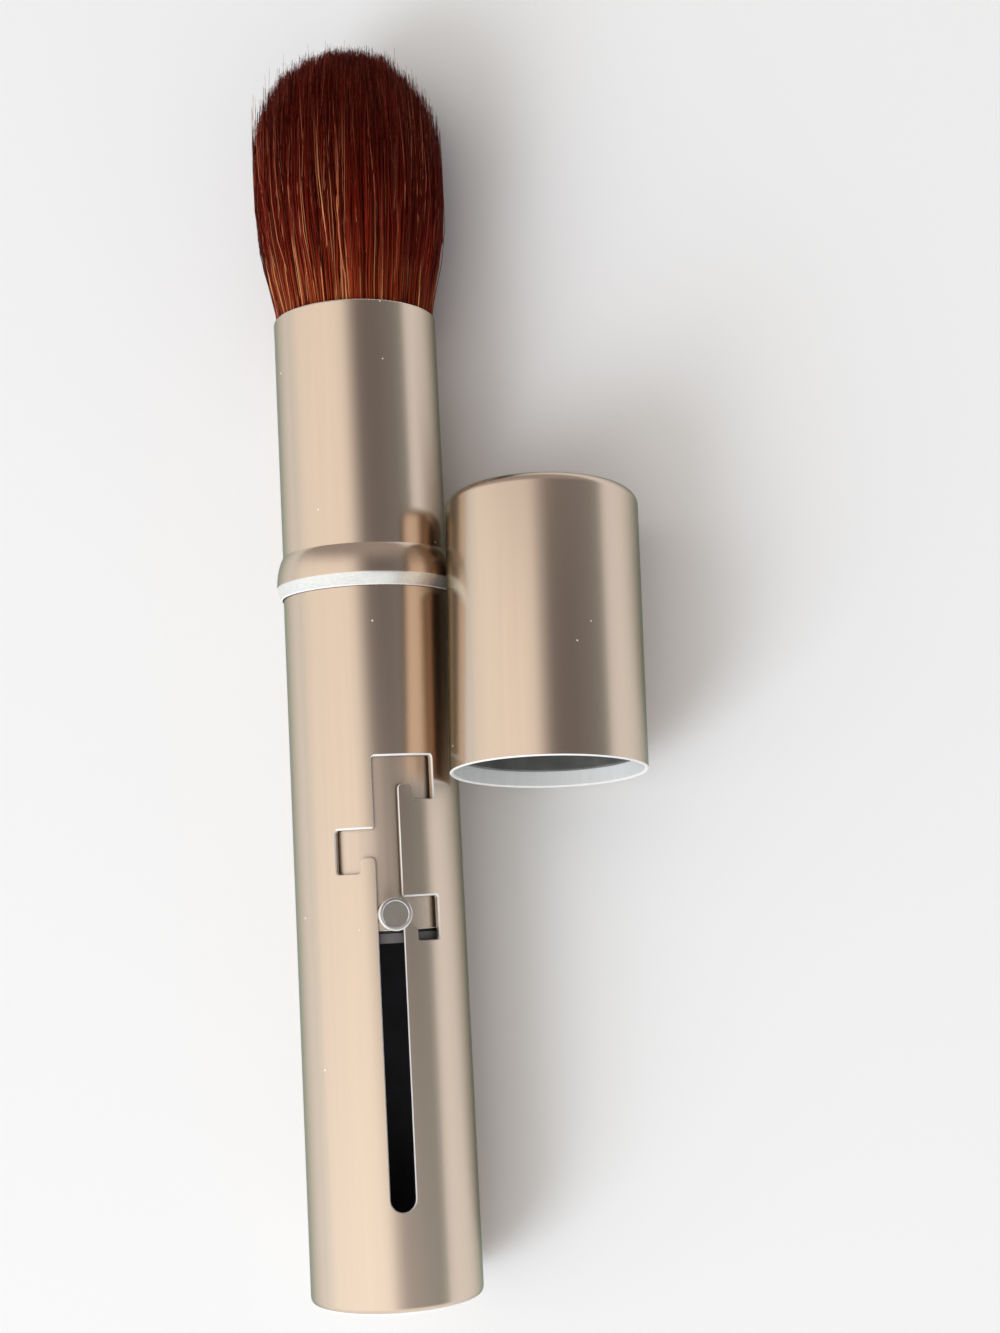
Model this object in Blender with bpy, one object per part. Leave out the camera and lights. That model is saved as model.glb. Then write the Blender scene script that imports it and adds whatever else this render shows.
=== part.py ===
"""A retractable makeup brush lying on a table, with its cap taken off and leaning beside it.

Lengths are in metres and +Z is up. The brush lies along +Y with its tuft forward. The cap lies on the
+X side with its mouth towards the base of the brush. Angles round the brush are measured from its top
towards +X.
"""

import math
import random

import bmesh
import bpy
from mathutils import Vector

# Units
MM = 0.001
FULL_TURN = math.tau
QUARTER_TURN = math.tau / 4

# Clearance between neighbours, overrun of every cut, and the distance under which points are one
FIT_GAP = 0.3 * MM
CUT_OVERRUN = 1.0 * MM
MERGE_DISTANCE = 0.001 * MM

# Barrel, a drawn tube with a closed base
BARREL_RADIUS = 9.0 * MM
BARREL_LENGTH = 104.4 * MM
BARREL_WALL = 0.55 * MM
NECK_STEP = 0.11 * MM
BASE_THICKNESS = 0.9 * MM
BASE_ROUNDING = 0.8 * MM
MOUTH_ROUNDING = 0.12 * MM

# Slot, measured from the base, with three hooked notches
SLOT_ANGLE = math.radians(25.3)
SLOT_WIDTH = 2.65 * MM
SLOT_FOOT = 10.0 * MM
SLOT_LENGTH = 45.8 * MM
NOTCH_TURN = math.radians(27.0)
PASSAGE_HEIGHT = 2.9 * MM
HOOK_DEPTH = 1.6 * MM
MIDDLE_NOTCH_DROP = 7.4 * MM
LOW_NOTCH_DROP = 14.5 * MM
NOTCH_ROUNDING = 0.3 * MM
TOOTH_ROUNDING_SHARE = 0.31

# Stop collar, a bead in a shallow groove of the barrel
COLLAR_RISE = 0.65 * MM
COLLAR_FOOT = 73.85 * MM
COLLAR_LENGTH = 3.85 * MM
COLLAR_BAND_HEIGHT = 1.4 * MM
COLLAR_FOOT_RISE = 0.2 * MM
COLLAR_LIP = 0.08 * MM
GROOVE_DEPTH = 0.15 * MM
GROOVE_MARGIN = 0.25 * MM

# Carrier, the inner tube that slides in the barrel. The pin stands just under the top of the low notch
PIN_BELOW_NOTCH = 1.6 * MM
CARRIER_WALL = 0.5 * MM
CARRIER_BELOW_PIN = 1.75 * MM
CARRIER_BELOW_MOUTH = 15.85 * MM

# Plug that closes the carrier and holds the knob
PLUG_FLANGE = 1.0 * MM
PLUG_FLANGE_STEP = 0.15 * MM
PLUG_BODY_LENGTH = 7.5 * MM
PLUG_CHAMFER = 0.3 * MM
PLUG_RECESS_RADIUS = 3.2 * MM
PLUG_RECESS_DEPTH = 1.8 * MM

# Knob, a turned pin with a disc head
PIN_RADIUS = 1.05 * MM
PIN_DEPTH = 4.6 * MM
KNOB_REACH = 4.2 * MM
KNOB_HEAD_RADIUS = 1.7 * MM
KNOB_HEAD_THICKNESS = 0.95 * MM
KNOB_CHAMFER = 0.18 * MM

# Ferrule that holds the hair in the top of the carrier
FERRULE_WALL = 0.35 * MM
FERRULE_LENGTH = 12.0 * MM
FERRULE_LIP = 0.35 * MM
FERRULE_FOOT_LIP = 1.3 * MM

# Glue block and thread band at the roots of the hair
RESIN_LENGTH = 3.2 * MM
BAND_THREAD_RADIUS = 0.3 * MM
WAIST_DEPTH = 0.75 * MM
ROOT_SLICE_RIM = 0.6 * MM
ROOT_SLICE_THICKNESS = 1.6 * MM

# Tuft of hair, measured beyond the mouth of the barrel
TUFT_REACH = 31.0 * MM
BELLY_REACH = 16.5 * MM
BELLY_SWELL = 1.55 * MM
MOUTH_SLACK = 0.35 * MM
ROOT_SLACK = 0.85 * MM
STRAND_GAP_SHARE = 0.32
STRAND_UNEVENNESS = 0.9 * MM
STRAND_POINT = 0.8 * MM
ROOT_UNEVENNESS = 0.12 * MM
FLOOR_GAP = 0.15 * MM
ROOT_RINGS = 8
ROOT_SECTORS = 6
DOME_POWER = 2.7
CROWN_DRAW_SHARE = 0.22
STRAND_SEED = 7

# Cap, an outer shell with a gripping liner
CAP_LENGTH = 29.3 * MM
CAP_WALL = 0.4 * MM
CAP_END_THICKNESS = 0.55 * MM
CAP_ROUNDING = 1.1 * MM
CAP_RIM_ROUNDING = 0.12 * MM
LINER_WALL = 0.42 * MM
LINER_CLEARANCE = 0.22 * MM
LINER_LENGTH = 16.0 * MM
SKIRT_DEPTH = 1.65 * MM

# How the cap lies: its closed end on the table, its mouth raised, its flank against the collar
CAP_PITCH = math.radians(6.37)
CAP_MOUTH_PLACE = 53.2 * MM

# Fineness of the round surfaces
ROUND_SIDES = 64
SMALL_SIDES = 32
PIN_SIDES = 24
THREAD_SIDES = 8
ARC_STEPS = 4
DOME_HALVINGS = 24
BEND_STEP = math.radians(4.0)
SHARP_ANGLE = math.radians(28.0)

# Sizes that follow
BORE_RADIUS = BARREL_RADIUS - BARREL_WALL
NECK_RADIUS = BARREL_RADIUS - NECK_STEP
COLLAR_RADIUS = BARREL_RADIUS + COLLAR_RISE
SLOT_TOP = SLOT_FOOT + SLOT_LENGTH
TOOTH_ROUNDING = TOOTH_ROUNDING_SHARE * (NOTCH_TURN * BARREL_RADIUS - SLOT_WIDTH)
PIN_HEIGHT = SLOT_TOP - LOW_NOTCH_DROP - PIN_BELOW_NOTCH
CARRIER_RADIUS = BORE_RADIUS - FIT_GAP
CARRIER_BORE = CARRIER_RADIUS - CARRIER_WALL
CARRIER_FOOT = PIN_HEIGHT - CARRIER_BELOW_PIN
CARRIER_TOP = BARREL_LENGTH - CARRIER_BELOW_MOUTH
FERRULE_RADIUS = CARRIER_BORE - FIT_GAP
FERRULE_BORE = FERRULE_RADIUS - FERRULE_WALL
FERRULE_FOOT = CARRIER_TOP + FIT_GAP + FERRULE_LIP - FERRULE_LENGTH
RESIN_FOOT = FERRULE_FOOT + FERRULE_WALL + FIT_GAP
ROOT_SLICE_FOOT = RESIN_FOOT + RESIN_LENGTH + FIT_GAP
ROOT_PLANE = ROOT_SLICE_FOOT + ROOT_SLICE_THICKNESS
ROOT_RADIUS = FERRULE_BORE - ROOT_SLACK
MOUTH_ABOVE_ROOTS = BARREL_LENGTH - ROOT_PLANE
BELLY_ABOVE_ROOTS = MOUTH_ABOVE_ROOTS + BELLY_REACH
TIP_ABOVE_ROOTS = MOUTH_ABOVE_ROOTS + TUFT_REACH
TUFT_MOUTH_RADIUS = BORE_RADIUS - MOUTH_SLACK
BELLY_RADIUS = BARREL_RADIUS + BELLY_SWELL
AXIS_HEIGHT = COLLAR_RADIUS
LINER_BORE = NECK_RADIUS + LINER_CLEARANCE
LINER_RADIUS = LINER_BORE + LINER_WALL
CAP_RADIUS = LINER_RADIUS + FIT_GAP + CAP_WALL


def cap_height():
    """Height of the centre of the cap's mouth when the rounding of its closed end touches the table."""
    down = (CAP_LENGTH - CAP_ROUNDING) * math.sin(CAP_PITCH)
    return down + (CAP_RADIUS - CAP_ROUNDING) * math.cos(CAP_PITCH) + CAP_ROUNDING


def cap_offset():
    """Distance sideways between the two axes when the cap is a fit gap from the collar or the barrel."""
    collar_place = COLLAR_FOOT + COLLAR_BAND_HEIGHT
    offsets = []
    for place, radius in ((CAP_MOUTH_PLACE, BARREL_RADIUS), (collar_place, COLLAR_RADIUS)):
        rise = cap_height() - AXIS_HEIGHT - (place - CAP_MOUTH_PLACE) * math.tan(CAP_PITCH)
        offsets.append(math.sqrt((radius + CAP_RADIUS + FIT_GAP) ** 2 - rise**2))
    return max(offsets)


# The model is centred over the table on the box that holds brush and cap
BRUSH_X = (BELLY_RADIUS - cap_offset() - CAP_RADIUS) / 2
BASE_Y = -(BARREL_LENGTH + TUFT_REACH) / 2


# Helpers


def material(name, colour, roughness, metallic):
    """A plain surface of one colour."""
    made = bpy.data.materials.new(name)
    made.use_nodes = True
    surface = made.node_tree.nodes["Principled BSDF"]
    surface.inputs["Base Color"].default_value = (*colour, 1.0)
    surface.inputs["Roughness"].default_value = roughness
    surface.inputs["Metallic"].default_value = metallic
    made.diffuse_color = (*colour, 1.0)
    return made


def empty(name, parent=None):
    """A frame to which pieces are parented."""
    frame = bpy.data.objects.new(name, None)
    bpy.context.scene.collection.objects.link(frame)
    frame.parent = parent
    return frame


def piece(name, shape, surface, parent):
    """Makes an object from an edited mesh, which it closes, and hangs it on its parent."""
    bmesh.ops.recalc_face_normals(shape, faces=shape.faces[:])
    mesh = bpy.data.meshes.new(name)
    shape.to_mesh(mesh)
    shape.free()
    mesh.shade_smooth()
    mesh.set_sharp_from_angle(angle=SHARP_ANGLE)
    made = bpy.data.objects.new(name, mesh)
    bpy.context.scene.collection.objects.link(made)
    made.parent = parent
    if surface:
        mesh.materials.append(surface)
    return made


def cutter(name, shape, parent):
    """A closed shape that only cuts others."""
    made = piece(name, shape, None, parent)
    made.hide_render = True
    made.display_type = "WIRE"
    return made


def cut(target, tool):
    """Takes the tool's shape out of the target."""
    difference = target.modifiers.new("Cut " + tool.name, "BOOLEAN")
    difference.operation = "DIFFERENCE"
    difference.solver = "EXACT"
    difference.object = tool


def arc(centre_radius, centre_height, radius, start, end):
    """Points of a profile on an arc. Its angles are measured from the outward direction to the top."""
    points = []
    for step in range(ARC_STEPS + 1):
        angle = start + (end - start) * step / ARC_STEPS
        points.append((centre_radius + radius * math.cos(angle), centre_height + radius * math.sin(angle)))
    return points


def turned(profile, sides=ROUND_SIDES):
    """Turns a profile of (radius, height) points about Z. One that stays off the axis is closed."""
    shape = bmesh.new()
    points = [shape.verts.new((radius, 0, height)) for radius, height in profile]
    edges = [shape.edges.new(pair) for pair in zip(points, points[1:])]
    if profile[0][0] > 0:
        edges.append(shape.edges.new((points[-1], points[0])))
    bmesh.ops.spin(
        shape,
        geom=points + edges,
        cent=(0, 0, 0),
        axis=(0, 0, 1),
        angle=FULL_TURN,
        steps=sides,
        use_merge=True,
    )
    bmesh.ops.remove_doubles(shape, verts=shape.verts[:], dist=MERGE_DISTANCE)
    return shape


def outward(angle):
    """The direction out from the brush's axis at an angle from its top."""
    return Vector((math.sin(angle), -math.cos(angle), 0))


def around(angle, radius, height):
    """A point on the brush, by its angle from the top, its distance from the axis and its height."""
    return radius * outward(angle) + Vector((0, 0, height))


# Barrel


def rounded_outline(corners):
    """Turns the square corners (across, along, rounding) of a closed outline into arcs."""
    points = []
    for before, corner, after in zip(corners[-1:] + corners[:-1], corners, corners[1:] + corners[:1]):
        here = Vector(corner[:2])
        back = (Vector(before[:2]) - here).normalized()
        on = (Vector(after[:2]) - here).normalized()
        rounding = corner[2]
        centre = here + rounding * (back + on)
        for step in range(ARC_STEPS + 1):
            turn = QUARTER_TURN * step / ARC_STEPS
            points.append(centre - rounding * (math.cos(turn) * on + math.sin(turn) * back))
    return points


def notch_corners(side, drop):
    """The corners of one hooked notch on a side of the channel, from its tooth up to its passage."""
    top = SLOT_TOP - drop
    tooth = top - PASSAGE_HEIGHT
    hook = tooth - HOOK_DEPTH
    edge = side * SLOT_WIDTH / 2
    near = side * NOTCH_TURN * BARREL_RADIUS - edge
    far = side * NOTCH_TURN * BARREL_RADIUS + edge
    return [
        (edge, tooth, TOOTH_ROUNDING),
        (near, tooth, TOOTH_ROUNDING),
        (near, hook, NOTCH_ROUNDING),
        (far, hook, NOTCH_ROUNDING),
        (far, top, NOTCH_ROUNDING),
        (edge, top, NOTCH_ROUNDING),
    ]


def slot_corners():
    """The whole slot on the unrolled barrel: two notches up the right side, one down the left."""
    right, left = 1, -1
    half = SLOT_WIDTH / 2
    low = notch_corners(right, LOW_NOTCH_DROP)
    top = notch_corners(right, 0)[:-1]
    middle = notch_corners(left, MIDDLE_NOTCH_DROP)[::-1]
    foot = [(-half, SLOT_FOOT, half), (half, SLOT_FOOT, half)]
    return foot + low + top + [(-half, SLOT_TOP, NOTCH_ROUNDING)] + middle


def slot_cutter(frame):
    """The slot as a curved slab through the wall of the barrel."""
    shape = bmesh.new()
    shape.faces.new([shape.verts.new((point.x, point.y, 0)) for point in rounded_outline(slot_corners())])
    bmesh.ops.remove_doubles(shape, verts=shape.verts[:], dist=MERGE_DISTANCE)
    reach = NOTCH_TURN + SLOT_WIDTH / BARREL_RADIUS
    strips = math.ceil(2 * reach / BEND_STEP)
    for strip in range(strips + 1):
        across = BARREL_RADIUS * (2 * reach * strip / strips - reach)
        bmesh.ops.bisect_plane(
            shape,
            geom=shape.verts[:] + shape.edges[:] + shape.faces[:],
            dist=MERGE_DISTANCE,
            plane_co=(across, 0, 0),
            plane_no=(1, 0, 0),
        )
    grown = bmesh.ops.extrude_face_region(shape, geom=shape.faces[:])
    raised = [part for part in grown["geom"] if isinstance(part, bmesh.types.BMVert)]
    depth = BARREL_WALL + 2 * CUT_OVERRUN
    bmesh.ops.translate(shape, verts=raised, vec=(0, 0, depth))
    for vert in shape.verts:
        angle = SLOT_ANGLE + vert.co.x / BARREL_RADIUS
        vert.co = around(angle, BORE_RADIUS - CUT_OVERRUN + vert.co.z, vert.co.y)
    return cutter("slot_cutter", shape, frame)


def barrel_profile():
    """Half section of the barrel, with the groove that seats the collar and a slimmer neck above it."""
    groove_foot = COLLAR_FOOT - GROOVE_MARGIN
    groove_top = COLLAR_FOOT + COLLAR_LENGTH + GROOVE_MARGIN
    groove_radius = BARREL_RADIUS - GROOVE_DEPTH
    outer = [
        (0, 0),
        *arc(BARREL_RADIUS - BASE_ROUNDING, BASE_ROUNDING, BASE_ROUNDING, -QUARTER_TURN, 0),
        (BARREL_RADIUS, groove_foot),
        (groove_radius, groove_foot),
        (groove_radius, groove_top),
        (NECK_RADIUS, groove_top),
        (NECK_RADIUS, BARREL_LENGTH - MOUTH_ROUNDING),
        (NECK_RADIUS - MOUTH_ROUNDING, BARREL_LENGTH),
    ]
    inner = [
        (BORE_RADIUS + MOUTH_ROUNDING, BARREL_LENGTH),
        (BORE_RADIUS, BARREL_LENGTH - MOUTH_ROUNDING),
        (BORE_RADIUS, BASE_THICKNESS + BASE_ROUNDING),
        (BORE_RADIUS - BASE_ROUNDING, BASE_THICKNESS),
        (0, BASE_THICKNESS),
    ]
    return outer + inner


def make_barrel(frame, surface):
    """The slotted outer tube."""
    barrel = piece("barrel", turned(barrel_profile()), surface, frame)
    cut(barrel, slot_cutter(frame))
    return barrel


def make_collar(frame, surface):
    """The bead that stops the cap: a cone cut bright below, rounded in to the barrel above."""
    inside = BARREL_RADIUS - GROOVE_DEPTH + FIT_GAP
    top = COLLAR_FOOT + COLLAR_LENGTH
    band_top = COLLAR_FOOT + COLLAR_BAND_HEIGHT
    lip = inside + COLLAR_LIP
    shoulder = []
    for step in range(ARC_STEPS + 1):
        angle = QUARTER_TURN * step / ARC_STEPS
        radius = lip + (COLLAR_RADIUS - lip) * math.cos(angle)
        shoulder.append((radius, band_top + (top - band_top) * math.sin(angle)))
    profile = [
        (inside, COLLAR_FOOT),
        (BARREL_RADIUS + COLLAR_FOOT_RISE, COLLAR_FOOT),
        *shoulder,
        (inside, top),
    ]
    return piece("stop_collar", turned(profile), surface, frame)


# Slider: carrier, plug and knob


def radial(made):
    """Points the axis of a turned piece out through the channel."""
    made.rotation_euler = outward(SLOT_ANGLE).to_track_quat("Z", "Y").to_euler()


def pin_hole_cutter(slider):
    """The hole that the pin goes through, from inside the plug out past the carrier."""
    foot = CARRIER_RADIUS - PIN_DEPTH - FIT_GAP
    top = CARRIER_RADIUS + CUT_OVERRUN
    radius = PIN_RADIUS + FIT_GAP
    profile = [(0, foot), (radius, foot), (radius, top), (0, top)]
    hole = cutter("pin_hole_cutter", turned(profile, PIN_SIDES), slider)
    radial(hole)
    return hole


def make_carrier(slider, hole, surface):
    """The inner tube, with a hole for the pin near its foot."""
    foot = CARRIER_FOOT - PIN_HEIGHT
    top = CARRIER_TOP - PIN_HEIGHT
    profile = [
        (CARRIER_BORE, foot),
        (CARRIER_RADIUS, foot),
        (CARRIER_RADIUS, top),
        (CARRIER_BORE, top),
    ]
    carrier = piece("carrier_tube", turned(profile), surface, slider)
    cut(carrier, hole)
    return carrier


def make_plug(slider, hole, surface):
    """The plug in the foot of the carrier: a flange under the tube, a body inside it and a recess below."""
    seat = CARRIER_FOOT - PIN_HEIGHT - FIT_GAP
    foot = seat - PLUG_FLANGE
    top = seat + PLUG_BODY_LENGTH
    body = CARRIER_BORE - FIT_GAP
    flange = CARRIER_RADIUS - PLUG_FLANGE_STEP
    profile = [
        (0, foot + PLUG_RECESS_DEPTH),
        (PLUG_RECESS_RADIUS, foot + PLUG_RECESS_DEPTH),
        (PLUG_RECESS_RADIUS, foot),
        (flange - PLUG_CHAMFER, foot),
        (flange, foot + PLUG_CHAMFER),
        (flange, seat),
        (body, seat),
        (body, top - PLUG_CHAMFER),
        (body - PLUG_CHAMFER, top),
        (0, top),
    ]
    plug = piece("carrier_plug", turned(profile, SMALL_SIDES), surface, slider)
    cut(plug, hole)
    return plug


def make_knob(slider, surface):
    """The turned pin and its disc head, which stands out through the slot."""
    foot = CARRIER_RADIUS - PIN_DEPTH
    face = BARREL_RADIUS + KNOB_REACH
    under = face - KNOB_HEAD_THICKNESS
    profile = [
        (0, foot),
        (PIN_RADIUS - KNOB_CHAMFER, foot),
        (PIN_RADIUS, foot + KNOB_CHAMFER),
        (PIN_RADIUS, under),
        (KNOB_HEAD_RADIUS - KNOB_CHAMFER, under),
        (KNOB_HEAD_RADIUS, under + KNOB_CHAMFER),
        (KNOB_HEAD_RADIUS, face - KNOB_CHAMFER),
        (KNOB_HEAD_RADIUS - KNOB_CHAMFER, face),
        (0, face),
    ]
    knob = piece("slide_knob", turned(profile, PIN_SIDES), surface, slider)
    radial(knob)
    return knob


# Brush head: ferrule, glue, band and hair


def make_ferrule(slider, surface):
    """The thin cup of the brush head, with a lip on the end of the carrier and a turned-in foot."""
    foot = FERRULE_FOOT - PIN_HEIGHT
    top = foot + FERRULE_LENGTH
    lip_foot = top - FERRULE_LIP
    profile = [
        (FERRULE_BORE - FERRULE_FOOT_LIP, foot),
        (FERRULE_RADIUS, foot),
        (FERRULE_RADIUS, lip_foot),
        (CARRIER_RADIUS, lip_foot),
        (CARRIER_RADIUS, top),
        (FERRULE_BORE, top),
        (FERRULE_BORE, foot + FERRULE_WALL),
        (FERRULE_BORE - FERRULE_FOOT_LIP, foot + FERRULE_WALL),
    ]
    return piece("tuft_ferrule", turned(profile), surface, slider)


def make_resin(slider, surface):
    """The glue block on the foot of the ferrule."""
    foot = RESIN_FOOT - PIN_HEIGHT
    radius = FERRULE_BORE - FIT_GAP
    top = foot + RESIN_LENGTH
    profile = [(0, foot), (radius, foot), (radius, top), (0, top)]
    return piece("resin_plug", turned(profile, SMALL_SIDES), surface, slider)


def waist_radius():
    """Radius of the bundle of hair where the thread draws it in."""
    return ROOT_RADIUS - WAIST_DEPTH


def make_band(slider, surface):
    """The thread round the waist of the bundle."""
    middle = waist_radius() + FIT_GAP + BAND_THREAD_RADIUS
    height = ROOT_SLICE_FOOT - PIN_HEIGHT + BAND_THREAD_RADIUS
    profile = []
    for side in range(THREAD_SIDES):
        angle = FULL_TURN * side / THREAD_SIDES
        radius = middle + BAND_THREAD_RADIUS * math.cos(angle)
        profile.append((radius, height + BAND_THREAD_RADIUS * math.sin(angle)))
    return piece("knot_band", turned(profile, SMALL_SIDES), surface, slider)


def spread(height):
    """How far from the axis the outermost hair stands at a height above the roots."""
    if height <= MOUTH_ABOVE_ROOTS:
        share = height / MOUTH_ABOVE_ROOTS
        return ROOT_RADIUS + (TUFT_MOUTH_RADIUS - ROOT_RADIUS) * share
    if height <= BELLY_ABOVE_ROOTS:
        share = (height - MOUTH_ABOVE_ROOTS) / BELLY_REACH
        return TUFT_MOUTH_RADIUS + (BELLY_RADIUS - TUFT_MOUTH_RADIUS) * math.sin(QUARTER_TURN * share)
    share = (height - BELLY_ABOVE_ROOTS) / (TIP_ABOVE_ROOTS - BELLY_ABOVE_ROOTS)
    return BELLY_RADIUS * (1 - CROWN_DRAW_SHARE * share**2)


def tip_height(place_share):
    """Where a hair ends on the dome, from its share of the way out from the axis."""
    low, high = 0.0, 1.0
    crown = TIP_ABOVE_ROOTS - BELLY_ABOVE_ROOTS
    for _ in range(DOME_HALVINGS):
        middle = (low + high) / 2
        out_share = place_share * spread(BELLY_ABOVE_ROOTS + middle * crown) / BELLY_RADIUS
        if out_share**DOME_POWER + middle**DOME_POWER < 1:
            low = middle
        else:
            high = middle
    return BELLY_ABOVE_ROOTS + low * crown


def splayed(root, height):
    """Where the hair from a root stands at a height. The side over the table is flattened."""
    width = spread(height)
    place = root * (width / ROOT_RADIUS)
    lowest = AXIS_HEIGHT - FLOOR_GAP
    if place.y > 0 and width > lowest:
        place.y *= lowest / width
    return Vector((place.x, place.y, height))


def root_faces(shape, uneven):
    """A disc of rings of slightly uneven triangles, one for each hair."""
    rings = [[shape.verts.new((0, 0, 0))]]
    for ring in range(1, ROOT_RINGS + 1):
        radius = ROOT_RADIUS * ring / ROOT_RINGS
        count = ROOT_SECTORS * ring
        points = [around(FULL_TURN * step / count, radius, 0) for step in range(count)]
        if ring < ROOT_RINGS:
            for point in points:
                point.xy += around(FULL_TURN * uneven.random(), ROOT_UNEVENNESS, 0).xy
        rings.append([shape.verts.new(point) for point in points])
    faces = []
    for ring, (inner, outer) in enumerate(zip(rings, rings[1:])):
        for sector in range(ROOT_SECTORS):
            for step in range(ring + 1):
                first = outer[sector * (ring + 1) + step]
                second = outer[(sector * (ring + 1) + step + 1) % len(outer)]
                third = inner[(sector * ring + step) % len(inner)]
                faces.append(shape.faces.new((first, second, third)))
                if step < ring:
                    fourth = inner[(sector * ring + step + 1) % len(inner)]
                    faces.append(shape.faces.new((third, second, fourth)))
    return faces, rings[-1]


def parted(shape, face):
    """Draws a strand's root in from its neighbours, by the same share of its width on every side."""
    corners = face.verts[:]
    sides = [(corners[index - 1].co - corners[index - 2].co).length for index in range(len(corners))]
    total = sum(sides)
    centre = sum((side * corner.co for side, corner in zip(sides, corners)), Vector()) / total
    kept = 1 - STRAND_GAP_SHARE
    inner = [shape.verts.new(centre + (corner.co - centre) * kept) for corner in corners]
    shape.faces.remove(face)
    for index in range(len(corners)):
        shape.faces.new((corners[index - 1], corners[index], inner[index], inner[index - 1]))
    return shape.faces.new(inner)


def close_root_slice(shape, rim):
    """Closes the slice of bound hair under the roots: a short rim, the tied waist and a flat foot."""
    above = rim
    stages = (
        (ROOT_RADIUS, -ROOT_SLICE_RIM),
        (waist_radius(), -ROOT_SLICE_RIM),
        (waist_radius(), -ROOT_SLICE_THICKNESS),
    )
    for radius, height in stages:
        below = [shape.verts.new((*(vert.co.xy.normalized() * radius), height)) for vert in rim]
        for index in range(len(rim)):
            after = (index + 1) % len(rim)
            shape.faces.new((above[index], above[after], below[after], below[index]))
        above = below
    shape.faces.new(above)


def make_tuft(slider, surface):
    """The hair: strands that grow from a bound slice, spread to a belly and end on a dome."""
    shape = bmesh.new()
    uneven = random.Random(STRAND_SEED)
    faces, rim = root_faces(shape, uneven)
    close_root_slice(shape, rim)
    faces = [parted(shape, face) for face in faces]
    root = shape.verts.layers.float_vector.new("root")
    for vert in shape.verts:
        vert[root] = vert.co
    for height in (MOUTH_ABOVE_ROOTS, BELLY_ABOVE_ROOTS):
        faces = bmesh.ops.extrude_discrete_faces(shape, faces=faces)["faces"]
        for face in faces:
            for vert in face.verts:
                vert.co = splayed(vert[root].xy, height)
    for face in faces:
        middle = sum((vert[root].xy for vert in face.verts), Vector((0, 0))) / len(face.verts)
        lowered = tip_height(middle.length / ROOT_RADIUS) - STRAND_UNEVENNESS * uneven.random()
        height = max(lowered, BELLY_ABOVE_ROOTS + STRAND_POINT)
        tip = bmesh.ops.poke(shape, faces=[face])["verts"][0]
        tip.co = splayed(middle, height)
    tuft = piece("tuft", shape, surface, slider)
    tuft.location.z = ROOT_PLANE - PIN_HEIGHT
    return tuft


# Cap


def make_cap_shell(frame, surface):
    """The outer cap, closed and rounded at its far end."""
    end = CAP_LENGTH - CAP_END_THICKNESS
    bore = CAP_RADIUS - CAP_WALL
    inner_rounding = CAP_ROUNDING - CAP_WALL
    profile = [
        (0, CAP_LENGTH),
        *arc(CAP_RADIUS - CAP_ROUNDING, CAP_LENGTH - CAP_ROUNDING, CAP_ROUNDING, QUARTER_TURN, 0),
        (CAP_RADIUS, CAP_RIM_ROUNDING),
        (CAP_RADIUS - CAP_RIM_ROUNDING, 0),
        (bore + CAP_RIM_ROUNDING, 0),
        (bore, CAP_RIM_ROUNDING),
        *arc(bore - inner_rounding, end - inner_rounding, inner_rounding, 0, QUARTER_TURN),
        (0, end),
    ]
    return piece("cap_shell", turned(profile), surface, frame)


def make_cap_liner(frame, surface):
    """The sleeve inside the cap that grips the barrel above the collar."""
    top = SKIRT_DEPTH + LINER_LENGTH
    profile = [
        (LINER_BORE, SKIRT_DEPTH),
        (LINER_RADIUS, SKIRT_DEPTH),
        (LINER_RADIUS, top),
        (LINER_BORE, top),
    ]
    return piece("cap_liner", turned(profile), surface, frame)


def clear_scene():
    """Removes every object that the file opened with."""
    for old in list(bpy.data.objects):
        bpy.data.objects.remove(old, do_unlink=True)


def main():
    """Builds the brush and its cap."""
    clear_scene()
    champagne = material("champagne_aluminium", (0.79, 0.68, 0.57), 0.36, 1.0)
    bright = material("bright_cut_aluminium", (0.9, 0.89, 0.87), 0.2, 1.0)
    carrier_metal = material("carrier_aluminium", (0.56, 0.49, 0.45), 0.4, 1.0)
    plug_plastic = material("plug_plastic", (0.3, 0.29, 0.31), 0.5, 0.0)
    liner_plastic = material("liner_plastic", (0.3, 0.34, 0.33), 0.35, 0.0)
    resin = material("root_resin", (0.5, 0.32, 0.12), 0.4, 0.0)
    thread = material("band_thread", (0.8, 0.76, 0.68), 0.8, 0.0)
    hair = material("brown_hair", (0.13, 0.03, 0.018), 0.5, 0.0)

    brush = empty("brush_frame")
    brush.location = (BRUSH_X, BASE_Y, AXIS_HEIGHT)
    brush.rotation_euler = (-QUARTER_TURN, 0, 0)
    make_barrel(brush, champagne)
    make_collar(brush, bright)

    slider = empty("slider_frame", brush)
    slider.location = (0, 0, PIN_HEIGHT)
    hole = pin_hole_cutter(slider)
    make_carrier(slider, hole, carrier_metal)
    make_plug(slider, hole, plug_plastic)
    make_knob(slider, bright)
    make_ferrule(slider, carrier_metal)
    make_resin(slider, resin)
    make_band(slider, thread)
    make_tuft(slider, hair)

    cap = empty("cap_frame")
    cap.location = (BRUSH_X + cap_offset(), BASE_Y + CAP_MOUTH_PLACE, cap_height())
    cap.rotation_euler = (-QUARTER_TURN - CAP_PITCH, 0, 0)
    make_cap_shell(cap, champagne)
    make_cap_liner(cap, liner_plastic)


main()
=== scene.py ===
"""Dresses the retractable makeup brush: fine turned metal, a full tuft of hair, and a plain pale studio.

All lengths are in metres. Each sub-assembly is built in its own frame, whose Z runs along the brush or the
cap, and is then turned into the frame of the model. Angles are measured from the top of the brush towards
the cap.
"""

import logging
import math
from dataclasses import dataclass, field
from enum import Enum

import bmesh
import bpy
import numpy as np
from mathutils import Matrix, Vector


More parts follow.
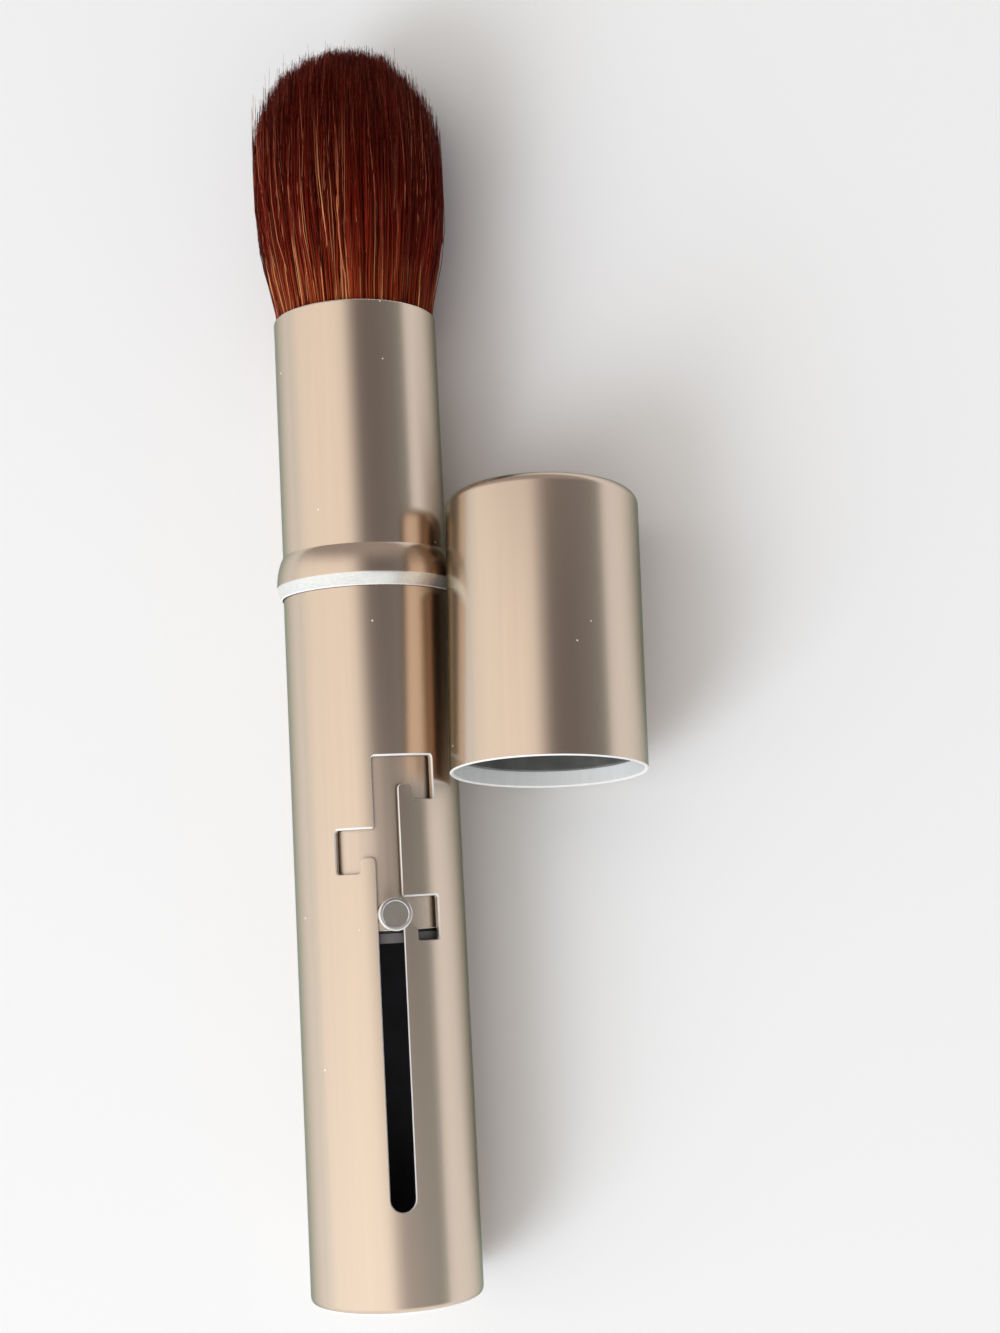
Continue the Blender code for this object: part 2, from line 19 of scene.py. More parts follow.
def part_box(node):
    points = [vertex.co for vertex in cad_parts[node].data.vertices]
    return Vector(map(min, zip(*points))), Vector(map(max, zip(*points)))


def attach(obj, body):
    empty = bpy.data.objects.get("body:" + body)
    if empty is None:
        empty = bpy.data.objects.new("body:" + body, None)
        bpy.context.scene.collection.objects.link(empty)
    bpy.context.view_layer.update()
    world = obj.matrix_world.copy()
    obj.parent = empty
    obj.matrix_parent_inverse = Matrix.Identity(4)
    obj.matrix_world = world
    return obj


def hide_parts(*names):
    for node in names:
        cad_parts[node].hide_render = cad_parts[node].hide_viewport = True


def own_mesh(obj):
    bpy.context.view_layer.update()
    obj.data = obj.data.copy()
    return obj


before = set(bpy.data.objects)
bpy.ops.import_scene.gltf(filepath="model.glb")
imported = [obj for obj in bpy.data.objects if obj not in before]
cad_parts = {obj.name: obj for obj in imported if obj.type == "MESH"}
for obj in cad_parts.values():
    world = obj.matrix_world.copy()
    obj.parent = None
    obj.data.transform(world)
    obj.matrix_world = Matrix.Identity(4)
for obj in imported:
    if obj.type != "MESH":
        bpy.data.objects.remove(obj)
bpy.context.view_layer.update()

LOG = logging.getLogger("brush")

MM = 0.001
FULL_TURN = math.tau
QUARTER_TURN = math.tau / 4
# How close points are merged, and how far points of a level face may differ
MERGE = 0.001 * MM
LEVEL = 0.01 * MM
# How far normals may rise on a round wall and on a slab's sides, and the shortest sum of them that counts
WALL_RISE = 0.05
SIDE_RISE = 0.5
SHORTEST_SUM = 0.1
# Angles in degrees from which an edge is sharp
SHARP_EDGE = 30.0
BLUNT_EDGE = 35.0
SOFT_EDGE = 40.0
# Sizes that more than one piece needs
BARREL_RADIUS = 9.0 * MM
BARREL_LENGTH = 104.4 * MM
CAP_RADIUS = 10.23 * MM
SLOT_ANGLE = math.radians(25.3)
# The layer with each hair's number and the share of its length, and the number from which hairs are tan
STRAND_LAYER = "strand"
TAN_HAIRS = 0.80

Colour = tuple[float, float, float]
Profile = list[tuple[float, float]]
Stops = tuple[tuple[float, Colour], ...]
Array = np.ndarray
Material = bpy.types.Material
Piece = bpy.types.Object
Shape = bmesh.types.BMesh
Socket = bpy.types.NodeSocket
Inputs = dict[str | int, Socket | float | tuple[float, ...]]


class Body(Enum):
    """The bodies of the model that pieces ride on."""

    HANDLE = "handle"
    SLIDER = "slider"
    CAP = "cap"


class Grain(Enum):
    """Which way the drawing marks of a metal run, in the piece's own frame."""

    LENGTHWISE = (1.0, 1.0, 0.02)
    ROUND = (1.0, 1.0, 9.0)


# Materials

# Detail of fine and of plain noise, and the values between which most of it lies
DETAIL = 3.0
LESS_DETAIL = 2.0
NOISE_SPAN = (0.2, 0.8)
# Drawing marks, stains and dust of the metals: how fine they are, in clouds per metre, and how strong
FINE_MARKS = 5200.0
BROAD_MARKS = 1500.0
STAINS = 90.0
DUST_CELLS = 1500.0
DUST_SIZE = 0.16
DUST_COLOUR: Colour = (0.95, 0.94, 0.92)
MARK_DARKER = 0.10
MARK_PALER = 0.05
MARK_ROUGHER = 0.06
MARK_HEIGHT = 0.03
MARK_DEPTH = 0.01 * MM
MARK_SPAN = (0.3, 0.7)
STAIN_STRETCH = (1.0, 1.0, 0.35)
STAIN_SPAN = (0.45, 0.8)
STAIN_STRENGTH = 0.1


@dataclass(frozen=True)
class SatinMetal:
    """Satin metal with drawing marks, slight stains, specks of dust and a tinted edge.

    Attributes:
        name: Name of the material.
        colour: Colour of the metal.
        edge: Tint of the metal at grazing angles.
        roughness: Mean roughness.
        marks: Strength of the drawing marks in colour and roughness.
        grain: Way that the marks run.
        specks: Share of the surface with pale specks.
        body: Share of the surface that reflects as metal. The rest is as pale as fresh filings; on the cut
            edges, where it covers most of the surface, that pale white is a painted highlight.
    """

    name: str
    colour: Colour
    edge: Colour = (0.32, 0.42, 0.375)
    roughness: float = 0.24
    marks: float = 0.14
    grain: Grain = Grain.LENGTHWISE
    specks: float = 0.0
    body: float = 1.0

    def build(self) -> Material:
        """Makes the material.

        Returns:
            The new material.
        """
        material, nodes, surface = new_material(self.name)
        place = nodes.place(self.grain.value)
        fine = nodes.noise(place, FINE_MARKS, DETAIL)
        broad = nodes.noise(place, BROAD_MARKS, LESS_DETAIL)
        stains = nodes.noise(nodes.place(STAIN_STRETCH), STAINS, DETAIL)
        low = tuple(part * (1.0 - MARK_DARKER * self.marks) for part in self.colour)
        high = tuple(min(1.0, part * (1.0 + MARK_PALER * self.marks)) for part in self.colour)
        drawn = nodes.ramp(broad, tuple(zip(MARK_SPAN, (low, high))))
        worn = nodes.mix(nodes.spread(stains, *STAIN_SPAN, 0.0, STAIN_STRENGTH), drawn, low)
        body = self.body
        if self.specks:
            dust = nodes.specks(DUST_CELLS, self.specks)
            worn = nodes.mix(dust, worn, DUST_COLOUR)
            body = nodes.spread(dust, 0.0, 1.0, self.body, 0.0)
        swing = MARK_ROUGHER * self.marks
        look = {
            "Metallic": body,
            "Specular Tint": (*self.edge, 1.0),
            "Base Color": worn,
            "Roughness": nodes.spread(fine, *NOISE_SPAN, self.roughness - swing, self.roughness + swing),
            "Normal": nodes.bump(fine, MARK_HEIGHT * self.marks, MARK_DEPTH),
        }
        nodes.feed(surface, look)
        return material


@dataclass(frozen=True)
class Moulded:
    """Plastic or resin with faint unevenness.

    Attributes:
        name: Name of the material.
        colour: Main colour.
        other: Colour of the faint clouds in it.
        roughness: Mean roughness.
        cloud: Fineness of the clouds, in clouds per metre.
        cloud_span: Values of the clouds between which the colour changes.
        finer: How much finer the grain is.
        swing: How much smoother and how much rougher the grain makes the surface.
        height: Strength of the grain's relief.
        depth: Depth of the grain.
    """

    name: str
    colour: Colour
    other: Colour
    roughness: float
    cloud: float = 350.0
    cloud_span: tuple[float, float] = (0.3, 0.75)
    finer: float = 12.0
    swing: tuple[float, float] = (0.06, 0.08)
    height: float = 0.15
    depth: float = 0.03 * MM

    def build(self) -> Material:
        """Makes the material.

        Returns:
            The new material.
        """
        material, nodes, surface = new_material(self.name)
        place = nodes.place()
        clouds = nodes.noise(place, self.cloud, DETAIL)
        grains = nodes.noise(place, self.cloud * self.finer, LESS_DETAIL)
        smoothest, roughest = self.roughness - self.swing[0], self.roughness + self.swing[1]
        look = {
            "Base Color": nodes.ramp(clouds, tuple(zip(self.cloud_span, (self.colour, self.other)))),
            "Roughness": nodes.spread(grains, *NOISE_SPAN, smoothest, roughest),
            "Normal": nodes.bump(grains, self.height, self.depth),
        }
        nodes.feed(surface, look)
        return material


@dataclass(frozen=True)
class HairColour:
    """Hair that runs from tan and auburn at its roots to a very dark red-brown at its tips.

    Each hair has a number of its own from 0 to 1. Low numbers are shaded, and high ones are tan.

    Attributes:
        name: Name of the material.
        common: Colours of most hairs along their length, from root to tip.
        tan: Colours of the tan hairs along their length.
        shade: Colour that the hairs with low numbers are mixed with.
        shade_share: How much of it the hair with the number 0 gets.
        shade_end: Number from which a hair isn't shaded.
        tan_span: Numbers between which hairs turn from common to tan.
        roughness: Roughness of a hair.
        gloss: Strength of its gloss.
        gloss_tint: Tint of its gloss.
    """

    name: str = "tuft_hair"
    common: Stops = (
        (0.0, (0.28, 0.042, 0.011)),
        (0.36, (0.24, 0.032, 0.009)),
        (0.50, (0.36, 0.050, 0.015)),
        (0.64, (0.25, 0.019, 0.008)),
        (0.80, (0.18, 0.010, 0.004)),
        (1.0, (0.14, 0.007, 0.004)),
    )
    tan: Stops = (
        (0.0, (0.95, 0.55, 0.22)),
        (0.38, (0.95, 0.52, 0.20)),
        (0.58, (0.93, 0.42, 0.18)),
        (0.78, (0.76, 0.27, 0.13)),
        (1.0, (0.34, 0.060, 0.030)),
    )
    shade: Colour = (0.030, 0.003, 0.002)
    shade_share: float = 0.94
    shade_end: float = 0.60
    tan_span: tuple[float, float] = (TAN_HAIRS, 0.96)
    roughness: float = 0.38
    gloss: float = 0.16
    gloss_tint: Colour = (1.0, 0.62, 0.42)

    def build(self) -> Material:
        """Makes the material.

        Returns:
            The new material.
        """
        material, nodes, surface = new_material(self.name)
        strand = nodes.add("UVMap")
        strand.uv_map = STRAND_LAYER
        number, along, _ = nodes.add("SeparateXYZ", {"Vector": strand.outputs["UV"]}).outputs
        shading = nodes.spread(number, 0.0, self.shade_end, self.shade_share, 0.0)
        shaded = nodes.mix(shading, nodes.ramp(along, self.common), self.shade)
        tan = nodes.ramp(along, self.tan)
        look = {
            "Base Color": nodes.mix(nodes.spread(number, *self.tan_span), shaded, tan),
            "Roughness": self.roughness,
            "Specular IOR Level": self.gloss,
            "Specular Tint": (*self.gloss_tint, 1.0),
        }
        nodes.feed(surface, look)
        return material


@dataclass(frozen=True)
class NodeSet:
    """Short ways to add the nodes that the finishes and the sky use.

    Attributes:
        tree: The node tree that they are added to.
    """

    tree: bpy.types.NodeTree

    def add(self, kind: str, inputs: Inputs | None = None) -> bpy.types.Node:
        """Adds a node.

        Args:
            kind: Kind of the node, as it is called after "ShaderNode".
            inputs: What its inputs get.

        Returns:
            The node.
        """
        node = self.tree.nodes.new(f"ShaderNode{kind}")
        self.feed(node, inputs or {})
        return node

    def feed(self, node: bpy.types.Node, inputs: Inputs) -> None:
        """Feeds inputs of a node.

        Args:
            node: The node.
            inputs: A socket to join to, or a plain value, by the name or the number of the input.
        """
        for name, value in inputs.items():
            if isinstance(value, Socket):
                self.tree.links.new(value, node.inputs[name])
            else:
                node.inputs[name].default_value = value

    def place(self, stretch: tuple[float, float, float] = (1.0, 1.0, 1.0)) -> Socket:
        """Gives a point of the piece in its own frame, stretched along its axes."""
        where = self.add("TexCoord").outputs["Object"]
        return self.add("Mapping", {"Vector": where, "Scale": stretch}).outputs["Vector"]

    def noise(self, place: Socket, scale: float, detail: float) -> Socket:
        """Gives clouds of a fineness, from 0 to 1."""
        return self.add("TexNoise", {"Vector": place, "Scale": scale, "Detail": detail}).outputs["Fac"]

    def specks(self, scale: float, share: float) -> Socket:
        """Gives scattered dots.

        Args:
            scale: Cells per metre, of which each may hold a dot.
            share: Share of the cells that hold one.

        Returns:
            1 on a dot and 0 elsewhere.
        """
        cells = self.add("TexVoronoi", {"Vector": self.place(), "Scale": scale})
        number = self.add("SeparateColor", {"Color": cells.outputs["Color"]}).outputs["Red"]
        chosen = self.maths("LESS_THAN", number, share)
        near = self.maths("LESS_THAN", cells.outputs["Distance"], DUST_SIZE)
        return self.maths("MULTIPLY", chosen, near)

    def maths(self, kind: str, first: Socket, second: Socket | float) -> Socket:
        """Works on two values.

        Args:
            kind: What is done with them.
            first: The first value.
            second: The second value, or a plain number.

        Returns:
            The outcome.
        """
        made = self.add("Math", {0: first, 1: second})
        made.operation = kind
        return made.outputs["Value"]

    def ramp(self, value: Socket, stops: Stops) -> Socket:
        """Turns a value into a colour.

        Args:
            value: The value.
            stops: Pairs of a value from 0 to 1 and the colour there.

        Returns:
            The colour.
        """
        made = self.add("ValToRGB", {"Fac": value})
        elements = made.color_ramp.elements
        while len(elements) < len(stops):
            elements.new(0.5)
        for element, (position, colour) in zip(elements, stops):
            element.position = position
            element.color = (*colour, 1.0)
        return made.outputs["Color"]

    def mix(self, share: Socket, first: Socket | Colour, second: Socket | Colour) -> Socket:
        """Mixes two colours.

        Args:
            share: Share of the second colour.
            first: The first colour.
            second: The second colour.

        Returns:
            The mixed colour.
        """
        made = self.add("Mix")
        made.data_type = "RGBA"
        pair = [part if isinstance(part, Socket) else (*part, 1.0) for part in (first, second)]
        self.feed(made, {"Factor": share, "A": pair[0], "B": pair[1]})
        return next(out for out in made.outputs if out.type == "RGBA")

    def spread(self, value: Socket, low: float, high: float, start: float = 0.0, end: float = 1.0) -> Socket:
        """Maps values from low..high to start..end and holds them there."""
        numbers = {"From Min": low, "From Max": high, "To Min": start, "To Max": end}
        return self.add("MapRange", {"Value": value, **numbers}).outputs["Result"]

    def bump(self, height: Socket, strength: float, depth: float) -> Socket:
        """Gives the directions of a surface that is roughened by a height."""
        return self.add("Bump", {"Height": height, "Strength": strength, "Distance": depth}).outputs["Normal"]


def new_material(name: str) -> tuple[Material, NodeSet, bpy.types.Node]:
    """Makes a plain material.

    Args:
        name: Its name.

    Returns:
        The material, the means to add nodes to it, and its surface node.
    """
    material = bpy.data.materials.new(name)
    material.use_nodes = True
    return material, NodeSet(material.node_tree), material.node_tree.nodes["Principled BSDF"]


METAL: Colour = (0.76, 0.63, 0.52)
PALE: Colour = (0.9, 0.9, 0.9)


class Finishes:
    """All finishes of the brush, made once."""

    def __init__(self) -> None:
        """Makes every finish."""
        turn, grey, cool = Grain.ROUND, (0.6, 0.6, 0.6), (0.7, 0.75, 0.75)
        self.champagne = SatinMetal("champagne_satin", METAL, specks=0.005).build()
        self.cap = SatinMetal("cap_satin", METAL, specks=0.008).build()
        self.bright = SatinMetal("bright_cut", (0.95, 0.94, 0.93), PALE, 0.2, 0.3, turn).build()
        # Cut edges: pale bare metal, but mostly diffuse white, which paints the bright edge highlights on
        # rims, rounded corners and the slot
        self.cut_edge_painted_highlight = SatinMetal("cut_edge_with_painted_highlight", (0.97, 0.97, 0.97), PALE, 0.36, 0.5, body=0.15).build()
        self.turned = SatinMetal("turned_band", (0.86, 0.88, 0.87), PALE, 0.30, 1.2, turn, body=0.75).build()
        self.disc = SatinMetal("base_satin", METAL, (0.80, 0.72, 0.64), 0.34, 0.5, turn).build()
        # The bore is near black: painted shade for the dark inside of the barrel
        self.bore = Moulded("bore_painted_shade", (0.145, 0.14, 0.165), (0.175, 0.17, 0.20), 0.55).build()
        self.carrier = SatinMetal("carrier_satin", (0.79, 0.665, 0.56), (0.5, 0.5, 0.5), 0.40, 0.6).build()
        self.knob_face = SatinMetal("knob_satin", (0.50, 0.48, 0.43), grey, 0.38, 0.6, turn).build()
        self.plug = Moulded("plug_grey", (0.14, 0.132, 0.14), (0.20, 0.19, 0.20), 0.5).build()
        self.liner = Moulded("liner_dark", (0.10, 0.105, 0.10), (0.165, 0.17, 0.165), 0.32).build()
        self.skirt = SatinMetal("skirt_pale", (0.95, 0.98, 0.99), cool, 0.4, 0.4, body=0.0).build()
        self.resin = Moulded("root_resin", (0.30, 0.14, 0.04), (0.42, 0.22, 0.07), 0.3).build()
        self.thread = Moulded("band_thread", (0.55, 0.50, 0.42), (0.72, 0.68, 0.58), 0.8, 2500.0).build()
        self.hair = HairColour().build()


# Shapes


def around(angle: float, radius: float, height: float) -> Vector:
    """Gives a point by its angle from the top, its distance from the axis and its place along it."""
    return Vector((radius * math.sin(angle), -radius * math.cos(angle), height))


def arc(centre: tuple[float, float], radius: float, start: int, end: int, steps: int = 4) -> Profile:
    """Gives the points of a part of a circle in a profile.

    Args:
        centre: Distance from the axis and height of its centre.
        radius: Its radius.
        start: First angle in quarter turns, from the outward direction towards the top.
        end: Last angle in quarter turns.
        steps: Number of steps.

    Returns:
        The points, both ends included.
    """
    first, last = start * QUARTER_TURN, end * QUARTER_TURN
    angles = [first + (last - first) * step / steps for step in range(steps + 1)]
    return [(centre[0] + radius * math.cos(angle), centre[1] + radius * math.sin(angle)) for angle in angles]


def lathe(profile: Profile, sides: int, marks: list[int] | None = None) -> Shape:
    """Turns a profile about Z.

    Args:
        profile: Points of (radius, height). One that leaves the axis is closed on itself.
        sides: Number of sides round.
        marks: Material number of each stretch of the profile, or None for all 0.

    Returns:
        The closed shape.
    """
    shape = bmesh.new()
    closed = profile[0][0] > 0
    rings = []
    for radius, height in profile:
        if radius <= 0:
            rings.append([shape.verts.new((0, 0, height))])
        else:
            spots = [around(FULL_TURN * side / sides, radius, height) for side in range(sides)]
            rings.append([shape.verts.new(spot) for spot in spots])
    pairs = list(zip(rings, rings[1:]))
    if closed:
        pairs.append((rings[-1], rings[0]))
    for stretch, (first, second) in enumerate(pairs):
        for side in range(sides):
            after = (side + 1) % sides
            corners = [first[side % len(first)], first[after % len(first)]]
            corners += [second[after % len(second)], second[side % len(second)]]
            corners = list(dict.fromkeys(corners))
            if len(corners) > 2:
                face = shape.faces.new(corners)
                face.material_index = marks[stretch] if marks else 0
    bmesh.ops.recalc_face_normals(shape, faces=shape.faces[:])
    return shape


def runs(*spans: tuple[int, int]) -> list[int]:
    """Lists the material numbers of a profile's stretches from spans of (how many, which number)."""
    return [number for count, number in spans for _ in range(count)]


def put(name: str, data: bpy.types.ID) -> Piece:
    """Makes an object and links it to the scene.

    Args:
        name: Its name.
        data: Its mesh, light or camera.

    Returns:
        The object.
    """
    made = bpy.data.objects.new(name, data)
    bpy.context.scene.collection.objects.link(made)
    return made


def as_object(name: str, shape: Shape, materials: list[Material], sharp: float = SHARP_EDGE) -> Piece:
    """Makes a smooth object.

    Args:
        name: Its name.
        shape: Its shape, which is used up.
        materials: Its materials, in the order of the shape's material numbers.
        sharp: Angle in degrees from which an edge is sharp.

    Returns:
        The object.
    """
    mesh = bpy.data.meshes.new(name)
    shape.to_mesh(mesh)
    shape.free()
    for material in materials:
        mesh.materials.append(material)
    mesh.shade_smooth()
    mesh.set_sharp_from_angle(angle=math.radians(sharp))
    return put(name, mesh)


def settle(made: Piece, place: Matrix) -> None:
    """Applies the piece's modifiers where it was made, and then puts it into the frame of the model.

    The mesh keeps the frame of its sub-assembly, so that grain and stains run along the piece.

    Args:
        made: The piece.
        place: The frame of its sub-assembly.
    """
    bpy.context.view_layer.update()
    graph = bpy.context.evaluated_depsgraph_get()
    seen = made.evaluated_get(graph)
    final = bpy.data.meshes.new_from_object(seen, preserve_all_data_layers=True, depsgraph=graph)
    made.modifiers.clear()
    made.data = final
    made.matrix_world = place


def carve(piece: Piece, tool: Piece, place: Matrix) -> None:
    """Cuts a tool out of a piece where both were made, removes the tool and settles the piece.

    Args:
        piece: The piece.
        tool: The tool.
        place: The frame of the piece's sub-assembly.
    """
    cut = piece.modifiers.new("Cut", "BOOLEAN")
    cut.operation = "DIFFERENCE"
    cut.solver = "EXACT"
    cut.object = tool
    settle(piece, place)
    bpy.data.objects.remove(tool, do_unlink=True)


def straighten_normals(made: Piece, radii: tuple[float, ...], slack: float = 0.06 * MM) -> None:
    """Gives the faces that lie on round walls the normals of those walls, so that cut ones shade smoothly.

    Args:
        made: A piece whose walls stand round its own Z.
        radii: Radii of the round walls.
        slack: How far a corner may be from the wall.
    """
    mesh = made.data
    count = len(mesh.loops)
    normals = np.empty(count * 3, np.float32)
    mesh.corner_normals.foreach_get("vector", normals)
    normals = normals.reshape(-1, 3)
    points = np.array([vert.co[:] for vert in mesh.vertices])
    for face in mesh.polygons:
        corners = points[list(face.vertices)]
        spans = np.hypot(corners[:, 0], corners[:, 1])
        on_wall = any(np.all(np.abs(spans - radius) < slack) for radius in radii)
        if abs(face.normal.z) > WALL_RISE or not on_wall:
            continue
        sense = 1.0 if np.dot(np.array(face.normal[:2]), corners[:, :2].mean(0)) > 0 else -1.0
        for loop, (x, y, _), span in zip(face.loop_indices, corners, spans):
            normals[loop] = (sense * x / span, sense * y / span, 0.0)
    mesh.normals_split_custom_set([tuple(normal) for normal in normals])


def dress(made: Piece, body: Body, node: str) -> None:
    """Gives a piece its body and the node that it stands for.

    Args:
        made: The piece.
        body: The body that it rides on.
        node: The node of the model that it replaces.
    """
    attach(made, body.value)
    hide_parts(node)
    LOG.info("%s stands for %s: %d faces", made.name, node, len(made.data.polygons))


# Placing


@dataclass(frozen=True)
class Placing:
    """Where the brush and the cap lie, read from the boxes of the model's nodes.

    Attributes:
        axis_x: Place of the brush's axis across.
        axis_z: Height of the brush's axis.
        base_y: Place of the brush's base.
        cap_pitch: Slope of the cap.
        cap_radius: Outer radius of the cap.
    """

    axis_x: float
    axis_z: float
    base_y: float
    cap_pitch: float = math.radians(6.37)
    cap_radius: float = CAP_RADIUS

    @classmethod
    def read(cls) -> "Placing":
        """Reads the brush's place."""
        low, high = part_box("barrel")
        return cls((low[0] + high[0]) / 2, (low[2] + high[2]) / 2, low[1])

    @property
    def brush(self) -> Matrix:
        """The frame of the brush: its Z runs from the base towards the tuft."""
        foot = Matrix.Translation((self.axis_x, self.base_y, self.axis_z))
        return foot @ Matrix.Rotation(-QUARTER_TURN, 4, "X")

    @property
    def cap(self) -> Matrix:
        """The frame of the cap: its Z runs from the mouth towards the closed end.

        Returns:
            The frame.
        """
        low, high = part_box("cap_shell")
        across = (low[0] + high[0]) / 2
        along = low[1] + self.cap_radius * math.sin(self.cap_pitch)
        up = high[2] - self.cap_radius * math.cos(self.cap_pitch)
        turn = Matrix.Rotation(-QUARTER_TURN - self.cap_pitch, 4, "X")
        return Matrix.Translation((across, along, up)) @ turn


# Sub-assemblies


@dataclass
class Slot:
    """The slot of the barrel with its three hooked notches, drawn on the unrolled wall."""

    angle: float = SLOT_ANGLE
    width: float = 2.65 * MM
    foot: float = 10.0 * MM
    length: float = 45.8 * MM
    notch_turn: float = math.radians(27.0)
    passage: float = 2.9 * MM
    hook: float = 1.6 * MM
    middle_drop: float = 7.4 * MM
    low_drop: float = 14.5 * MM
    corner: float = 0.3 * MM
    tooth: float = 0.5 * MM
    chamfer: float = 0.2 * MM
    side_chamfer: float = 0.08 * MM
    chamfer_power: int = 4
    corner_steps: int = 8
    bend_step: float = math.radians(1.5)

    def outline(self, radius: float) -> list[Vector]:
        """Draws the outline with its rounded corners.

        Args:
            radius: Radius of the wall that the outline is drawn on.

        Returns:
            Points of (distance round, place along).
        """
        half = self.width / 2
        top = self.foot + self.length
        low = self.notch(1, self.low_drop, radius)
        high = self.notch(1, 0.0, radius)[:-1]
        middle = self.notch(-1, self.middle_drop, radius)[::-1]
        foot = [(-half, self.foot, half), (half, self.foot, half)]
        corners = [*foot, *low, *high, (-half, top, self.corner), *middle]
        points = []
        for before, corner, after in zip(corners[-1:] + corners[:-1], corners, corners[1:] + corners[:1]):
            here = Vector(corner[:2])
            back = (Vector(before[:2]) - here).normalized()
            on = (Vector(after[:2]) - here).normalized()
            centre = here + corner[2] * (back + on)
            for step in range(self.corner_steps + 1):
                turn = QUARTER_TURN * step / self.corner_steps
                points.append(centre - corner[2] * (math.cos(turn) * on + math.sin(turn) * back))
        return points

    def notch(self, side: int, drop: float, radius: float) -> list[tuple[float, float, float]]:
        """Gives the corners of one notch, from its tooth up to its passage.

        Args:
            side: 1 towards the cap, -1 away from it.
            drop: How far the notch lies below the top of the slot.
            radius: Radius of the wall.

        Returns:
            Corners of (distance round, place along, rounding).
        """
        top = self.foot + self.length - drop
        tooth = top - self.passage
        hook = tooth - self.hook
        edge = side * self.width / 2
        middle = side * self.notch_turn * radius
        return [
            (edge, tooth, self.tooth),
            (middle - edge, tooth, self.tooth),
            (middle - edge, hook, self.corner),
            (middle + edge, hook, self.corner),
            (middle + edge, top, self.corner),
            (edge, top, self.corner),
        ]

    def flare(self, rim: list[bmesh.types.BMVert], rise: float) -> None:
        """Widens the slab's outer rim, most towards the base, so that it also breaks the slot's edges.

        Args:
            rim: Corners of the outer side of the slab, which is still flat.
            rise: How far that side stands above the start of the broken edge.
        """
        moves = {}
        for vert in rim:
            out = Vector((0.0, 0.0))
            for face in vert.link_faces:
                if abs(face.normal.z) < SIDE_RISE:
                    out += face.normal.xy.normalized()
            if out.length > SHORTEST_SUM:
                out = out.normalized()
                share = max(0.0, out.y) ** self.chamfer_power
                width = self.side_chamfer + (self.chamfer - self.side_chamfer) * share
                moves[vert] = out * width * rise / self.chamfer
        for vert, move in moves.items():
            vert.co.xy += move

    def cutter(self, radius: float, inner: float, outer: float, materials: list[Material]) -> Piece:
        """Makes the slab that cuts the slot and breaks its outer edges.

        Args:
            radius: Radius of the wall that the outline is drawn on.
            inner: Radius of the slab's inner side.
            outer: Radius of its outer side.
            materials: The wall's materials, of which the broken edges get number 1, the pale finish that
                paints their highlights.

        Returns:
            The slab.
        """
        shape = bmesh.new()
        shape.faces.new([shape.verts.new((point.x, point.y, 0)) for point in self.outline(radius)])
        bmesh.ops.remove_doubles(shape, verts=shape.verts[:], dist=MERGE)
        reach = self.notch_turn + self.width / radius
        strips = math.ceil(2 * reach / self.bend_step)
        for strip in range(strips + 1):
            across = radius * (2 * reach * strip / strips - reach)
            parts = shape.verts[:] + shape.edges[:] + shape.faces[:]
            bmesh.ops.bisect_plane(shape, geom=parts, dist=MERGE, plane_co=(across, 0, 0), plane_no=(1, 0, 0))
        start = radius - self.chamfer - inner
        raised, top = [], shape.faces[:]
        for rise in (start, outer - inner - start):
            grown = bmesh.ops.extrude_face_region(shape, geom=top)["geom"]
            raised = [part for part in grown if isinstance(part, bmesh.types.BMVert)]
            top = [part for part in grown if isinstance(part, bmesh.types.BMFace)]
            bmesh.ops.translate(shape, verts=raised, vec=(0, 0, rise))
        level = [face for face in shape.faces if all(abs(vert.co.z - start) < LEVEL for vert in face.verts)]
        bmesh.ops.delete(shape, geom=level, context="FACES_ONLY")
        for edge in [edge for edge in shape.edges if not edge.link_faces]:
            shape.edges.remove(edge)
        bmesh.ops.recalc_face_normals(shape, faces=shape.faces[:])
        self.flare(raised, outer - radius + self.chamfer)
        # The broken edges get material 1, the pale finish that paints their highlights
        for face in shape.faces:
            face.material_index = 1 if min(vert.co.z for vert in face.verts) > start - LEVEL else 0
        for vert in shape.verts:
            vert.co = around(self.angle + vert.co.x / radius, inner + vert.co.z, vert.co.y)
        bmesh.ops.recalc_face_normals(shape, faces=shape.faces[:])
        return as_object("slot_slab", shape, materials)


